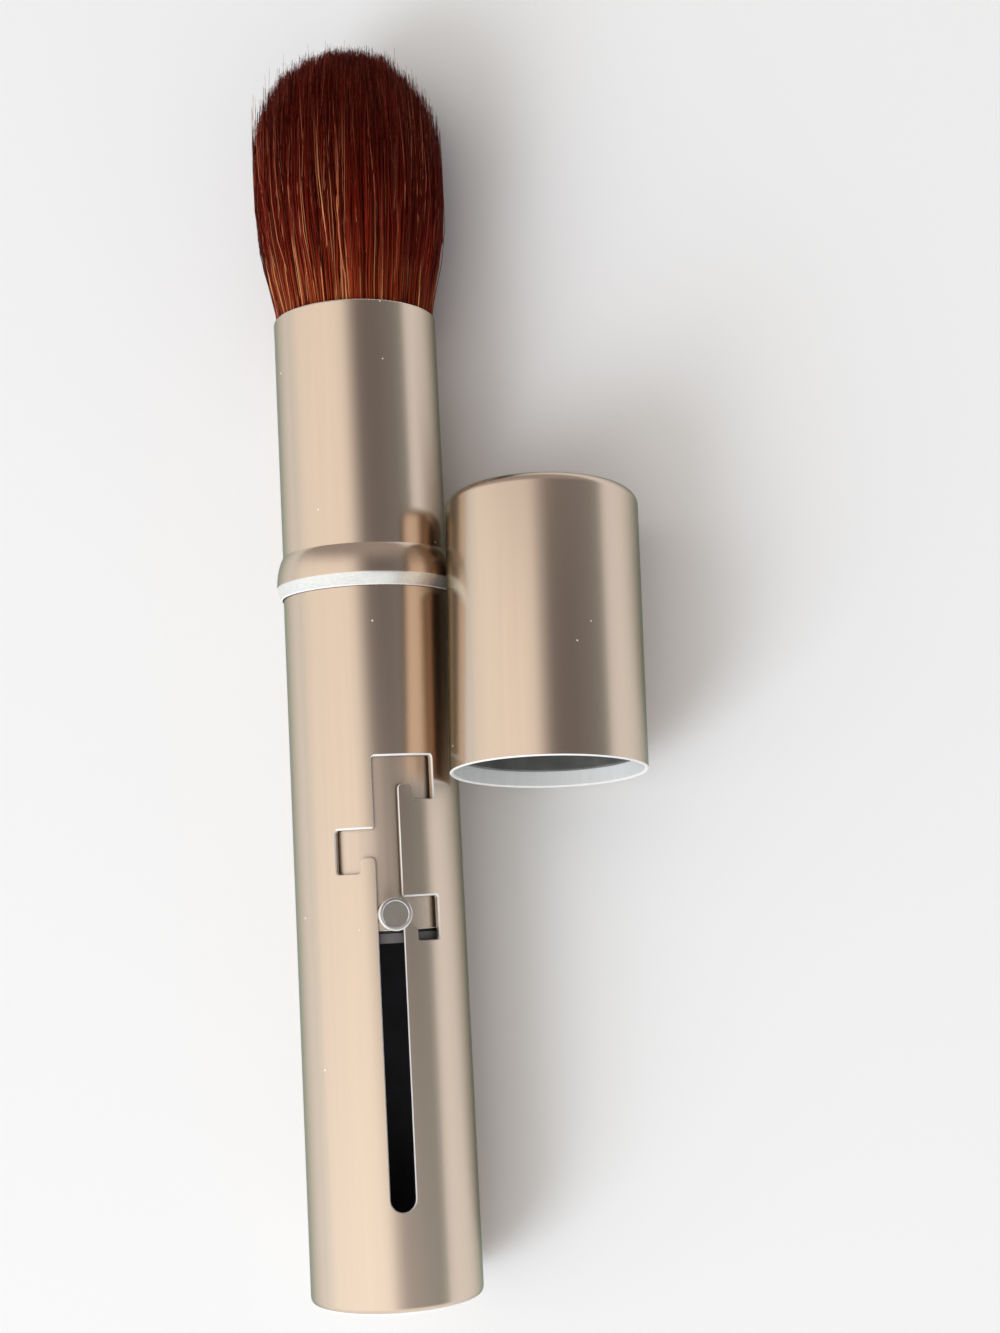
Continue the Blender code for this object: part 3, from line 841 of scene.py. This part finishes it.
@dataclass
class Barrel:
    """The slotted barrel and the bead on it that stops the cap."""

    place: Placing
    finishes: Finishes
    radius: float = BARREL_RADIUS
    neck: float = 8.89 * MM
    bore: float = 8.45 * MM
    length: float = BARREL_LENGTH
    base: float = 0.9 * MM
    base_rounding: float = 0.8 * MM
    base_steps: int = 8
    rim: float = 0.13 * MM
    groove: float = 8.85 * MM
    groove_foot: float = 73.6 * MM
    groove_top: float = 77.95 * MM
    bead_radius: float = 9.65 * MM
    bead_inside: float = 9.15 * MM
    bead_foot: float = 73.63 * MM
    bead_top: float = 78.2 * MM
    bead_lip: float = 9.12 * MM
    bead_feather: float = 8.915 * MM
    bead_steps: int = 20
    bead_power: float = 0.85
    band: float = 1.32 * MM
    lip: float = 0.12 * MM
    bead_tip: float = 0.01 * MM
    bead_under: tuple[float, float] = (0.2 * MM, 0.5 * MM)
    slab_under: float = 1.0 * MM
    slab_over: float = 0.03 * MM
    slot: Slot = field(default_factory=Slot)
    sides: int = 256

    def build(self) -> None:
        """Builds the barrel and the bead."""
        self.build_tube()
        self.build_bead()

    def build_tube(self) -> None:
        """Turns the tube and cuts the slot."""
        rounding = self.base_rounding
        outer = [
            (0.0, 0.0),
            *arc((self.radius - rounding, rounding), rounding, -1, 0, self.base_steps),
            (self.radius, self.groove_foot),
            (self.groove, self.groove_foot),
            (self.groove, self.groove_top),
            (self.neck, self.groove_top),
            *arc((self.neck - self.rim, self.length - self.rim), self.rim, 0, 1),
        ]
        inner = [
            *arc((self.bore + self.rim, self.length - self.rim), self.rim, 1, 2),
            (self.bore, self.base + rounding),
            (self.bore - rounding, self.base),
            (0.0, self.base),
        ]
        materials = [self.finishes.champagne, self.finishes.cut_edge_painted_highlight, self.finishes.bore, self.finishes.disc]
        plain, edge, bore, disc = range(len(materials))
        # From the disc over the part of its rounding that is painted as a highlight, the side, and the
        # rounded rim, also painted as a highlight, into the bore, whose near-black is painted shade
        marks = runs((1, disc), (5, edge), (len(outer) - 10, plain), (8, edge))
        marks += runs((len(outer + inner) - 1 - len(marks), bore))
        tube = as_object("barrel_tube", lathe(outer + inner, self.sides, marks), materials)
        inner_side, outer_side = self.bore - self.slab_under, self.radius + self.slab_over
        carve(tube, self.slot.cutter(self.radius, inner_side, outer_side, materials), self.place.brush)
        tube.data.set_sharp_from_angle(angle=math.radians(SHARP_EDGE))
        straighten_normals(tube, (self.radius, self.neck, self.bore))
        dress(tube, Body.HANDLE, "barrel")

    def build_bead(self) -> None:
        """Turns the bead: a bright band below, and a shoulder that runs in to the neck above."""
        band_top = self.bead_foot + self.band
        crown = self.bead_radius
        low = self.bead_inside
        shoulder = []
        for step in range(self.bead_steps + 1):
            share = step / self.bead_steps
            swell = (1.0 - share**2) ** self.bead_power
            radius = self.bead_feather + (crown - self.bead_feather) * swell
            shoulder.append((radius, band_top + (self.bead_top - band_top) * share))
        profile = [
            (low, self.bead_foot),
            (self.bead_lip, self.bead_foot),
            (self.bead_lip + self.lip, self.bead_foot + self.lip),
            (crown - self.lip / 2, band_top - self.lip),
            *shoulder,
            (self.bead_feather - self.bead_tip, self.bead_top),
            (self.bead_feather - self.bead_tip, self.groove_top - self.bead_under[0]),
            (low, self.groove_top - self.bead_under[1]),
        ]
        materials = [self.finishes.champagne, self.finishes.cut_edge_painted_highlight, self.finishes.turned]
        plain, edge, band = range(len(materials))
        # The lip at the foot of the band gets the pale finish that paints its edge highlight
        marks = runs((2, edge), (2, band), (len(profile) - 4, plain))
        bead = as_object("stop_bead", lathe(profile, self.sides, marks), materials, SOFT_EDGE)
        settle(bead, self.place.brush)
        dress(bead, Body.HANDLE, "stop_collar")


@dataclass
class Slider:
    """What slides in the barrel: the carrier, its plug and the knob."""

    place: Placing
    finishes: Finishes
    slot_angle: float = SLOT_ANGLE
    pin_height: float = 39.7 * MM
    barrel_radius: float = BARREL_RADIUS
    carrier_radius: float = 8.15 * MM
    carrier_bore: float = 7.65 * MM
    carrier_foot: float = 37.95 * MM
    carrier_length: float = 50.6 * MM
    plug_radius: float = 8.0 * MM
    plug_body: float = 7.35 * MM
    flange: float = 1.0 * MM
    plug_length: float = 7.5 * MM
    plug_edge: float = 0.22 * MM
    plug_chamfer: float = 0.3 * MM
    recess: float = 3.2 * MM
    recess_depth: float = 1.8 * MM
    pin_radius: float = 1.05 * MM
    pin_depth: float = 4.6 * MM
    hole: float = 1.35 * MM
    reach: float = 4.2 * MM
    head_radius: float = 1.7 * MM
    head: float = 0.95 * MM
    head_ring: float = 0.34 * MM
    head_sink: float = 0.05 * MM
    head_slope: float = 0.06 * MM
    neck: float = 0.12 * MM
    break_edge: float = 0.16 * MM
    carrier_edge: float = 0.08 * MM
    gap: float = 0.3 * MM
    sides: int = 192
    plug_sides: int = 128
    knob_sides: int = 96
    hole_sides: int = 48

    def build(self) -> None:
        """Builds the carrier, the plug and the knob."""
        self.build_carrier()
        self.build_plug()
        self.build_knob()

    @property
    def outward(self) -> Matrix:
        """Turns a piece's own Z to point out through the channel at the height of the pin."""
        turn = around(self.slot_angle, 1.0, 0.0).to_track_quat("Z", "Y").to_matrix().to_4x4()
        return Matrix.Translation((0.0, 0.0, self.pin_height)) @ turn

    def drill(self, piece: Piece, inner: float) -> None:
        """Drills the pin hole into a piece and puts the piece in place.

        Args:
            piece: The piece.
            inner: Distance from the axis at which the hole ends.
        """
        outer = self.barrel_radius
        profile = [(0.0, inner), (self.hole, inner), (self.hole, outer), (0.0, outer)]
        bar = as_object("pin_hole_bar", lathe(profile, self.hole_sides), [])
        bar.matrix_world = self.outward
        carve(piece, bar, self.place.brush)

    def build_carrier(self) -> None:
        """Builds the inner tube."""
        foot = self.carrier_foot
        top = foot + self.carrier_length
        corner = self.carrier_edge
        profile = [
            (self.carrier_bore, foot),
            (self.carrier_radius - corner, foot),
            (self.carrier_radius, foot + corner),
            (self.carrier_radius, top - corner),
            (self.carrier_radius - corner, top),
            (self.carrier_bore, top),
        ]
        materials = [self.finishes.carrier, self.finishes.cut_edge_painted_highlight]
        plain, edge = range(len(materials))
        # The carrier's end corners get the pale finish that paints their edge highlights
        marks = [edge, edge, plain, edge, edge, plain]
        carrier = as_object("carrier_sleeve", lathe(profile, self.sides, marks), materials)
        self.drill(carrier, self.plug_body)
        straighten_normals(carrier, (self.carrier_radius, self.carrier_bore))
        dress(carrier, Body.SLIDER, "carrier_tube")

    def build_plug(self) -> None:
        """Builds the plug in the foot of the carrier."""
        seat = self.carrier_foot - self.gap
        foot = seat - self.flange
        top = seat + self.plug_length
        edge = self.plug_edge
        profile = [
            (0.0, foot + self.recess_depth),
            (self.recess, foot + self.recess_depth),
            (self.recess, foot + edge),
            (self.recess + edge, foot),
            *arc((self.plug_radius - edge, foot + edge), edge, -1, 0),
            (self.plug_radius, seat),
            (self.plug_body, seat),
            (self.plug_body, top - self.plug_chamfer),
            (self.plug_body - self.plug_chamfer, top),
            (0.0, top),
        ]
        plug = as_object("foot_plug", lathe(profile, self.plug_sides), [self.finishes.plug], BLUNT_EDGE)
        self.drill(plug, self.carrier_radius - self.pin_depth - self.gap)
        dress(plug, Body.SLIDER, "carrier_plug")

    def build_knob(self) -> None:
        """Builds the pin and its head: a turned shank, a satin face and a bright ring round the face."""
        foot = self.carrier_radius - self.pin_depth
        face = self.barrel_radius + self.reach
        under = face - self.head
        edge = self.break_edge
        ring = self.head_radius - self.head_ring
        middle = face - self.head_sink
        profile = [
            (0.0, foot),
            (self.pin_radius - edge, foot),
            (self.pin_radius, foot + edge),
            (self.pin_radius, under - self.neck),
            (self.pin_radius + self.neck, under),
            *arc((self.head_radius - edge, under + edge), edge, -1, 0),
            *arc((self.head_radius - edge, face - edge), edge, 0, 1),
            (ring, face),
            (ring - self.head_slope, middle),
            (0.0, middle),
        ]
        materials = [self.finishes.bright, self.finishes.knob_face]
        bright, satin = range(len(materials))
        marks = runs((len(profile) - 2, bright), (1, satin))
        knob = as_object("slide_knob_turned", lathe(profile, self.knob_sides, marks), materials)
        settle(knob, self.place.brush @ self.outward)
        dress(knob, Body.SLIDER, "slide_knob")


def soft_limit(values: Array, start: float, end: float) -> Array:
    """Bends values above a start so that they near an end and never pass it."""
    span = end - start
    return np.where(values > start, start + span * np.tanh((values - start) / span), values)


@dataclass
class BrushHead:
    """The ferrule, glue and band, which keep the model's shapes, and the tuft of hair.

    Hairs draw together in clumps, and within them in locks of a few hairs. A point's free share is its height
    above the mouth of the barrel as a share of the tuft's reach.
    """

    place: Placing
    finishes: Finishes
    # Outline of the tuft
    root_plane: float = 81.9 * MM
    root_radius: float = 6.4 * MM
    mouth: float = BARREL_LENGTH
    mouth_radius: float = 8.34 * MM
    belly: float = 16.0 * MM
    belly_radius: float = 10.3 * MM
    settled_radius: float = 10.15 * MM
    widest_radius: float = 10.55 * MM
    reach: float = 31.0 * MM
    crown_draw: float = 0.20
    crown_edge: float = 0.985
    crown_fall: float = 0.10
    dome_power: float = 2.35
    square_shoulder: float = 1.5
    floor_gap: float = 0.5 * MM
    floor_start: float = 0.8
    lean: float = 0.35 * MM
    keep: float = 0.78
    # Numbers of hairs
    sectors: int = 14
    hairs: int = 2150
    clumps: int = 420
    lock_hairs: int = 3
    seed: int = 11
    # Tips
    tip_scatter: float = 0.6 * MM
    clump_lift: float = 0.25 * MM
    short_share: float = 0.14
    short_by: float = 10.0 * MM
    shortest: float = 4.0 * MM
    # How hairs draw together and stray, with the powers of the free share that they grow with
    clump_pull: float = 0.20
    lock_pull: float = 0.30
    lock_pull_power: float = 0.6
    clump_stray: float = 0.24 * MM
    clump_stray_power: float = 1.2
    lock_stray: float = 0.45 * MM
    own_stray: float = 0.34 * MM
    loose_share: float = 0.10
    loose_stray: float = 2.8
    wave: float = 0.20 * MM
    wave_turns: tuple[float, float] = (0.7, 1.3)
    wave_start: float = 5.0
    # A single hair
    hair_sides: int = 3
    rings: int = 10
    ring_power: float = 0.85
    hair_radius: float = 0.06 * MM
    hair_widths: tuple[float, float] = (0.75, 0.5)
    taper_start: float = 0.55
    taper: float = 0.80
    taper_power: float = 1.5
    tan_share: float = 0.17
    # Extra tan hairs on the side away from the cap, which faces the lamp: painted light
    painted_light_tan_side: float = 0.05
    chance: np.random.Generator = field(init=False)

    def __post_init__(self) -> None:
        """Sets up the source of all places and small differences."""
        self.chance = np.random.default_rng(self.seed)

    def build(self) -> None:
        """Dresses the inner pieces and grows the tuft."""
        for node, material, slot in (
            ("tuft_ferrule", self.finishes.carrier, "carrier_aluminium"),
            ("resin_plug", self.finishes.resin, "root_resin"),
            ("knot_band", self.finishes.thread, "band_thread"),
        ):
            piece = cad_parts[node]
            piece.data.materials.clear()
            piece.data.materials.append(material)
            LOG.info("%s keeps the model's shape, with %s for slot %s", node, material.name, slot)
        self.build_tuft()

    def build_tuft(self) -> None:
        """Grows the tuft in sectors, which ride on the slider."""
        centres = self.scatter(self.clumps)
        shifts = self.chance.normal(0.0, 1.0, (self.clumps, 3))
        span = FULL_TURN / self.sectors
        for sector in range(self.sectors):
            roots = self.scatter(self.hairs, span, sector)
            made = self.strands(f"tuft_hair_{sector:02d}", *self.paths(roots, centres, shifts))
            made.matrix_world = self.place.brush
            made.data.materials.append(self.finishes.hair)
            dress(made, Body.SLIDER, "tuft")
            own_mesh(made)

    def scatter(self, count: int, span: float = FULL_TURN, sector: int = 0) -> Array:
        """Scatters points over a sector of a disc of radius 1.

        Args:
            count: Number of points.
            span: Angle of a sector.
            sector: Number of the sector.

        Returns:
            Points of (point, xy).
        """
        share = np.sqrt(self.chance.random(count))
        angle = span * (sector + self.chance.random(count))
        return np.stack([share * np.cos(angle), share * np.sin(angle)], 1)

    def outline(self, height: Array) -> Array:
        """Gives the tuft's radius.

        Args:
            height: Heights above the base of the brush.

        Returns:
            The radius of the outermost hair at each height.
        """
        inside = np.clip((height - self.root_plane) / (self.mouth - self.root_plane), 0.0, 1.0)
        inner = self.root_radius + (self.mouth_radius - self.root_radius) * inside
        swell = np.clip((height - self.mouth) / self.belly, 0.0, 1.0)
        above = np.clip((height - self.mouth - self.belly) / (self.reach - self.belly), 0.0, 1.0)
        outer = inner + (self.belly_radius - self.mouth_radius) * np.sin(QUARTER_TURN * swell)
        return outer * (1.0 - self.crown_draw * above**2)

    def tips(self, roots: Array, lift: Array) -> Array:
        """Gives the height at which each hair ends, on a dome that is squarer on the side away from the cap.

        Args:
            roots: Places of the hairs in the bundle, on a disc of radius 1.
            lift: How much higher than the dome each hair's clump stands.

        Returns:
            The heights.
        """
        count = len(roots)
        out = np.clip(np.hypot(roots[:, 0], roots[:, 1]), 0.0, self.crown_edge)
        away = np.clip(-roots[:, 0], 0.0, 1.0)
        power = self.dome_power + self.square_shoulder * away
        crown = (self.reach - self.belly) * (1.0 - out**power) ** (1.0 / power)
        dome = self.mouth + self.belly + crown * (1.0 - self.crown_fall * away)
        tips = dome - self.chance.exponential(self.tip_scatter, count) + lift
        short = self.chance.random(count) < self.short_share
        tips = np.where(short, tips - self.chance.random(count) * self.short_by, tips)
        return np.clip(tips, self.mouth + self.shortest, self.mouth + self.reach)

    def stray(self, free: Array, shift: Array, lock: Array, locks: int) -> Array:
        """Gives how far the hairs stray with their clump, with their lock and each on its own.

        Args:
            free: Free share of each point, as (hair, ring, 1).
            shift: Direction and length of the stray of each hair's clump.
            lock: Number of each hair's lock.
            locks: Number of locks.

        Returns:
            Moves of (hair, ring, xy).
        """
        count, chance = len(lock), self.chance
        moves = shift[:, None, :] * (self.clump_stray * free**self.clump_stray_power)
        moves = moves + chance.normal(0.0, 1.0, (locks, 1, 2))[lock] * (self.lock_stray * free)
        own = chance.normal(0.0, 1.0, (count, 1, 2)) * (self.own_stray * free)
        loose = (chance.random(count) < self.loose_share)[:, None, None]
        own = own * np.where(loose, self.loose_stray, 1.0)
        phase = FULL_TURN * chance.random((locks, 1, 2))[lock]
        fewest, more = self.wave_turns
        swing = FULL_TURN * (fewest + more * chance.random((locks, 1, 2))[lock]) * free
        wave = self.wave * np.sin(phase + swing) * np.minimum(1.0, self.wave_start * free)
        return moves + own + wave

    def paths(self, roots: Array, centres: Array, shifts: Array) -> tuple[Array, Array, Array]:
        """Lays the hairs of one sector, inside the widest radius and above the table.

        Args:
            roots: Places of the hairs in the bundle, on a disc of radius 1.
            centres: Places of the clumps in the bundle.
            shifts: Direction and length of each clump's stray.

        Returns:
            Points of (hair, ring, xyz), the radius of each hair, and the number that its colour comes from.
        """
        count, chance = len(roots), self.chance
        locks = count // self.lock_hairs
        clump = ((roots[:, None, :] - centres[None]) ** 2).sum(2).argmin(1)
        lock = ((roots[:, None, :] - roots[None, :locks]) ** 2).sum(2).argmin(1)
        tips = self.tips(roots, self.clump_lift * shifts[clump, 2])
        along = np.linspace(0.0, 1.0, self.rings) ** self.ring_power
        height = self.root_plane + along[None, :] * (tips - self.root_plane)[:, None]
        free = np.clip((height - self.mouth) / self.reach, 0.0, 1.0)[..., None]
        drawn = roots[:, None, :] + (centres[clump] - roots)[:, None, :] * (self.clump_pull * free)
        drawn = drawn + (roots[lock] - roots)[:, None, :] * (self.lock_pull * free**self.lock_pull_power)
        place = drawn * self.outline(height)[..., None]
        place = place + self.stray(free, shifts[clump, :2], lock, locks)
        place[..., 0] += self.lean * free[..., 0] ** 2
        span = np.hypot(place[..., 0], place[..., 1])
        held = soft_limit(span, self.settled_radius, self.widest_radius)
        place = place * (held / np.maximum(span, MERGE))[..., None]
        floor = self.place.axis_z - self.floor_gap
        place[..., 1] = soft_limit(place[..., 1], self.floor_start * floor, floor)
        thinnest, wider = self.hair_widths
        width = self.hair_radius * (thinnest + wider * chance.random(count))
        # Tan hairs are likelier on the side away from the cap, towards the lamp: painted light on top of the
        # hairs' own mix
        tan = chance.random(count) < self.tan_share - self.painted_light_tan_side * roots[:, 0]
        tan_number = TAN_HAIRS + (1.0 - TAN_HAIRS) * chance.random(count)
        number = np.where(tan, tan_number, TAN_HAIRS * chance.random(locks)[lock])
        return np.concatenate([place, height[..., None]], 2), width, number

    def strands(self, name: str, paths: Array, width: Array, number: Array) -> Piece:
        """Makes a thin hair along each path.

        Args:
            name: Name of the piece.
            paths: Points of (hair, ring, xyz).
            width: Radius of each hair.
            number: Number from 0 to 1 that gives each hair its colour.

        Returns:
            The piece.
        """
        count, rings, _ = paths.shape
        share = np.linspace(0.0, 1.0, rings)
        thinned = np.clip((share - self.taper_start) / (1.0 - self.taper_start), 0.0, 1.0)
        taper = 1.0 - self.taper * thinned**self.taper_power
        sides = self.hair_sides
        turn = FULL_TURN * (self.chance.random(count)[:, None] + np.arange(sides)[None, :] / sides)
        ring = np.stack([np.cos(turn), np.sin(turn), np.zeros_like(turn)], 2)
        points = paths[:, :, None, :] + ring[:, None] * (width[:, None] * taper[None, :])[..., None, None]
        first = (np.arange(count)[:, None, None] * rings + np.arange(rings - 1)[None, :, None]) * sides
        above = first + sides
        side = np.arange(sides)[None, None, :]
        after = (side + 1) % sides
        quads = np.stack([first + side, first + after, above + after, above + side], 3).reshape(-1, 4)
        mesh = bpy.data.meshes.new(name)
        mesh.vertices.add(count * rings * sides)
        mesh.vertices.foreach_set("co", points.astype(np.float32).ravel())
        mesh.loops.add(quads.size)
        mesh.loops.foreach_set("vertex_index", quads.astype(np.int32).ravel())
        mesh.polygons.add(len(quads))
        mesh.polygons.foreach_set("loop_start", np.arange(0, quads.size, 4, dtype=np.int32))
        mesh.update(calc_edges=True)
        mesh.validate()
        layer = mesh.uv_layers.new(name=STRAND_LAYER)
        values = np.stack([number[quads // (sides * rings)], share[(quads // sides) % rings]], 2)
        layer.data.foreach_set("uv", values.astype(np.float32).ravel())
        mesh.shade_smooth()
        return put(name, mesh)


@dataclass
class Cap:
    """The cap that lies beside the brush: an outer shell and the liner that grips the barrel."""

    place: Placing
    finishes: Finishes
    radius: float = CAP_RADIUS
    length: float = 29.3 * MM
    wall: float = 0.4 * MM
    end: float = 0.55 * MM
    rounding: float = 1.1 * MM
    rounding_steps: int = 10
    inner_steps: int = 6
    rim: float = 0.13 * MM
    inner_rim: float = 0.17 * MM
    liner_radius: float = 9.53 * MM
    liner_bore: float = 9.11 * MM
    liner_length: float = 16.0 * MM
    liner_edge: float = 0.12 * MM
    skirt: float = 1.65 * MM
    skirt_lap: float = 0.3 * MM
    ribs: int = 12
    rib_rise: float = 0.09 * MM
    rib_power: int = 4
    sides: int = 256

    def build(self) -> None:
        """Builds the shell and the liner."""
        self.build_shell()
        self.build_liner()

    def build_shell(self) -> None:
        """Builds the outer shell with its bright rim and pale skirt."""
        bore = self.radius - self.wall
        inner_end = self.length - self.end
        inner = self.rounding - self.wall
        corner = (self.radius - self.rounding, self.length - self.rounding)
        outside = [
            (0.0, self.length),
            *arc(corner, self.rounding, 1, 0, self.rounding_steps),
            (self.radius, self.rim),
            (self.radius - self.rim, 0.0),
        ]
        inside = [
            (bore + self.inner_rim, 0.0),
            (bore, self.inner_rim),
            (bore, self.skirt + self.skirt_lap),
            *arc((bore - inner, inner_end - inner), inner, 0, 1, self.inner_steps),
            (0.0, inner_end),
        ]
        materials = [self.finishes.cap, self.finishes.cut_edge_painted_highlight, self.finishes.skirt, self.finishes.liner]
        plain, edge, skirt, lining = range(len(materials))
        # The mouth rim gets the pale finish that paints its edge highlight
        marks = runs((len(outside) - 2, plain), (3, edge), (1, skirt), (len(inside) - 3, lining))
        shape = lathe(outside + inside, self.sides, marks)
        shell = as_object("cap_shell_turned", shape, materials, BLUNT_EDGE)
        settle(shell, self.place.cap)
        dress(shell, Body.CAP, "cap_shell")

    def build_liner(self) -> None:
        """Builds the liner, whose bore has shallow lengthwise ribs."""
        top = self.skirt + self.liner_length
        edge = self.liner_edge
        profile = [
            (self.liner_bore + edge, self.skirt),
            (self.liner_radius, self.skirt),
            (self.liner_radius, top),
            (self.liner_bore, top),
            (self.liner_bore, self.skirt + edge),
        ]
        shape = lathe(profile, self.sides)
        for vert in shape.verts:
            span = vert.co.xy.length
            if span < self.liner_bore + edge / 2:
                angle = math.atan2(vert.co.y, vert.co.x)
                rise = max(0.0, math.cos(self.ribs * angle)) ** self.rib_power * self.rib_rise
                vert.co.xy *= (span - rise) / span
        liner = as_object("cap_liner_ribbed", shape, [self.finishes.liner], SOFT_EDGE)
        settle(liner, self.place.cap)
        dress(liner, Body.CAP, "cap_liner")


# Studio

# Colours of the room by the angle in degrees from overhead towards the cap, looking forward and looking back
SKY_FORWARD: Stops = (
    (-180.0, (0.55, 0.55, 0.55)),
    (-94.0, (0.72, 0.76, 0.77)),
    (-68.0, (1.00, 0.94, 0.87)),
    (-20.0, (1.02, 0.95, 0.88)),
    (0.0, (0.99, 0.92, 0.85)),
    (12.0, (0.42, 0.39, 0.37)),
    (22.0, (0.16, 0.145, 0.145)),
    (45.0, (0.165, 0.15, 0.15)),
    (64.0, (0.20, 0.19, 0.19)),
    (80.0, (0.24, 0.245, 0.235)),
    (95.0, (0.35, 0.37, 0.355)),
    (180.0, (0.55, 0.55, 0.55)),
)
SKY_BACK: Stops = (
    (-180.0, (0.55, 0.55, 0.55)),
    (-94.0, (0.82, 0.88, 0.92)),
    (-68.0, (1.16, 1.13, 1.08)),
    (-20.0, (1.24, 1.20, 1.13)),
    (12.0, (1.24, 1.20, 1.13)),
    (22.0, (0.78, 0.74, 0.72)),
    (32.0, (0.50, 0.48, 0.48)),
    (48.0, (0.46, 0.45, 0.45)),
    (66.0, (0.38, 0.40, 0.39)),
    (80.0, (0.33, 0.36, 0.345)),
    (95.0, (0.40, 0.43, 0.41)),
    (180.0, (0.55, 0.55, 0.55)),
)
SKY_FRONT_END: Colour = (0.37, 0.33, 0.31)
SKY_BACK_END: Colour = (0.98, 0.97, 0.95)
# Where the room runs from its back end into the back, from there into the front, and into its front end
SKY_BACK_RUN = (-0.60, -0.38)
SKY_MIDDLE_RUN = (-0.22, 0.10)
SKY_FRONT_RUN = (0.40, 0.66)


@dataclass
class Studio:
    """A pale table, soft light from the left and the camera of the photograph."""

    place: Placing
    camera_offset: tuple[float, float, float] = (63.37 * MM, 42.82 * MM, 185.15 * MM)
    camera_turn: tuple[float, float, float] = (5.804, 15.096, -3.115)
    lens: float = 49.0
    sensor: float = 36.0
    clip_start: float = 0.01
    table: float = 9.0
    table_colours: Stops = ((0.3, (0.915, 0.93, 0.95)), (0.7, (0.93, 0.945, 0.96)))
    table_clouds: float = 6.0
    table_roughness: float = 0.75
    table_gloss: float = 0.15
    lamp_place: tuple[float, float, float] = (-0.459, -0.54, 0.594)
    lamp_size: tuple[float, float] = (0.43, 0.57)
    lamp_energy: float = 3.45
    lamp_colour: Colour = (0.93, 0.985, 1.06)

    def build(self) -> None:
        """Builds the table, the light and the camera."""
        self.build_table()
        self.build_sky()
        self.build_lamp()
        self.build_camera()
        bpy.context.scene.view_settings.view_transform = "Standard"

    def build_table(self) -> None:
        """Lays the pale table."""
        material, nodes, surface = new_material("table_white")
        clouds = nodes.noise(nodes.place(), self.table_clouds, LESS_DETAIL)
        look = {
            "Base Color": nodes.ramp(clouds, self.table_colours),
            "Roughness": self.table_roughness,
            "Specular IOR Level": self.table_gloss,
        }
        nodes.feed(surface, look)
        shape = bmesh.new()
        bmesh.ops.create_grid(shape, x_segments=1, y_segments=1, size=self.table / 2)
        as_object("table_top", shape, [material])

    def build_sky(self) -> None:
        """Lights the room: bright and warm on the left, dim overhead, cool and grey on the right."""
        world = bpy.context.scene.world or bpy.data.worlds.new("studio")
        bpy.context.scene.world = world
        world.use_nodes = True
        world.node_tree.nodes.clear()
        nodes = NodeSet(world.node_tree)
        where = nodes.add("TexCoord").outputs["Generated"]
        across, along, up = nodes.add("SeparateXYZ", {"Vector": where}).outputs
        share = nodes.spread(nodes.maths("ARCTAN2", across, up), -math.pi, math.pi)
        forward, back = (
            nodes.ramp(share, tuple(((degrees + 180.0) / 360.0, colour) for degrees, colour in sky))
            for sky in (SKY_FORWARD, SKY_BACK)
        )
        middle = nodes.mix(nodes.spread(along, *SKY_MIDDLE_RUN), back, forward)
        front = nodes.mix(nodes.spread(along, *SKY_FRONT_RUN), middle, SKY_FRONT_END)
        whole = nodes.mix(nodes.spread(along, *SKY_BACK_RUN), SKY_BACK_END, front)
        light = nodes.add("Background", {"Color": whole}).outputs["Background"]
        nodes.add("OutputWorld", {"Surface": light})

    def build_lamp(self) -> None:
        """Hangs one broad soft lamp at the lower left, which throws the shadows to the upper right."""
        data = bpy.data.lights.new("window_light", "AREA")
        data.shape = "RECTANGLE"
        data.size, data.size_y = self.lamp_size
        data.energy = self.lamp_energy
        data.color = self.lamp_colour
        lamp = put("window_light", data)
        lamp.location = self.lamp_place
        lamp.rotation_euler = (-lamp.location).to_track_quat("-Z", "Y").to_euler()
        lamp.visible_glossy = False

    def build_camera(self) -> None:
        """Sets up the camera at the photograph's viewing angle."""
        data = bpy.data.cameras.new("camera")
        data.sensor_fit = "VERTICAL"
        data.sensor_height = self.sensor
        data.lens = self.lens
        data.clip_start = self.clip_start
        camera = put("camera", data)
        foot = Vector((self.place.axis_x, self.place.base_y, self.place.axis_z))
        camera.location = foot + Vector(self.camera_offset)
        camera.rotation_euler = [math.radians(angle) for angle in self.camera_turn]
        bpy.context.scene.camera = camera


def main() -> None:
    """Builds every sub-assembly and the studio."""
    logging.basicConfig(level=logging.INFO, format="%(name)s: %(message)s")
    place = Placing.read()
    finishes = Finishes()
    for part in (
        Barrel(place, finishes),
        Slider(place, finishes),
        BrushHead(place, finishes),
        Cap(place, finishes),
        Studio(place),
    ):
        part.build()
        LOG.info("%s is built", type(part).__name__)


if __name__ == "__main__":
    main()
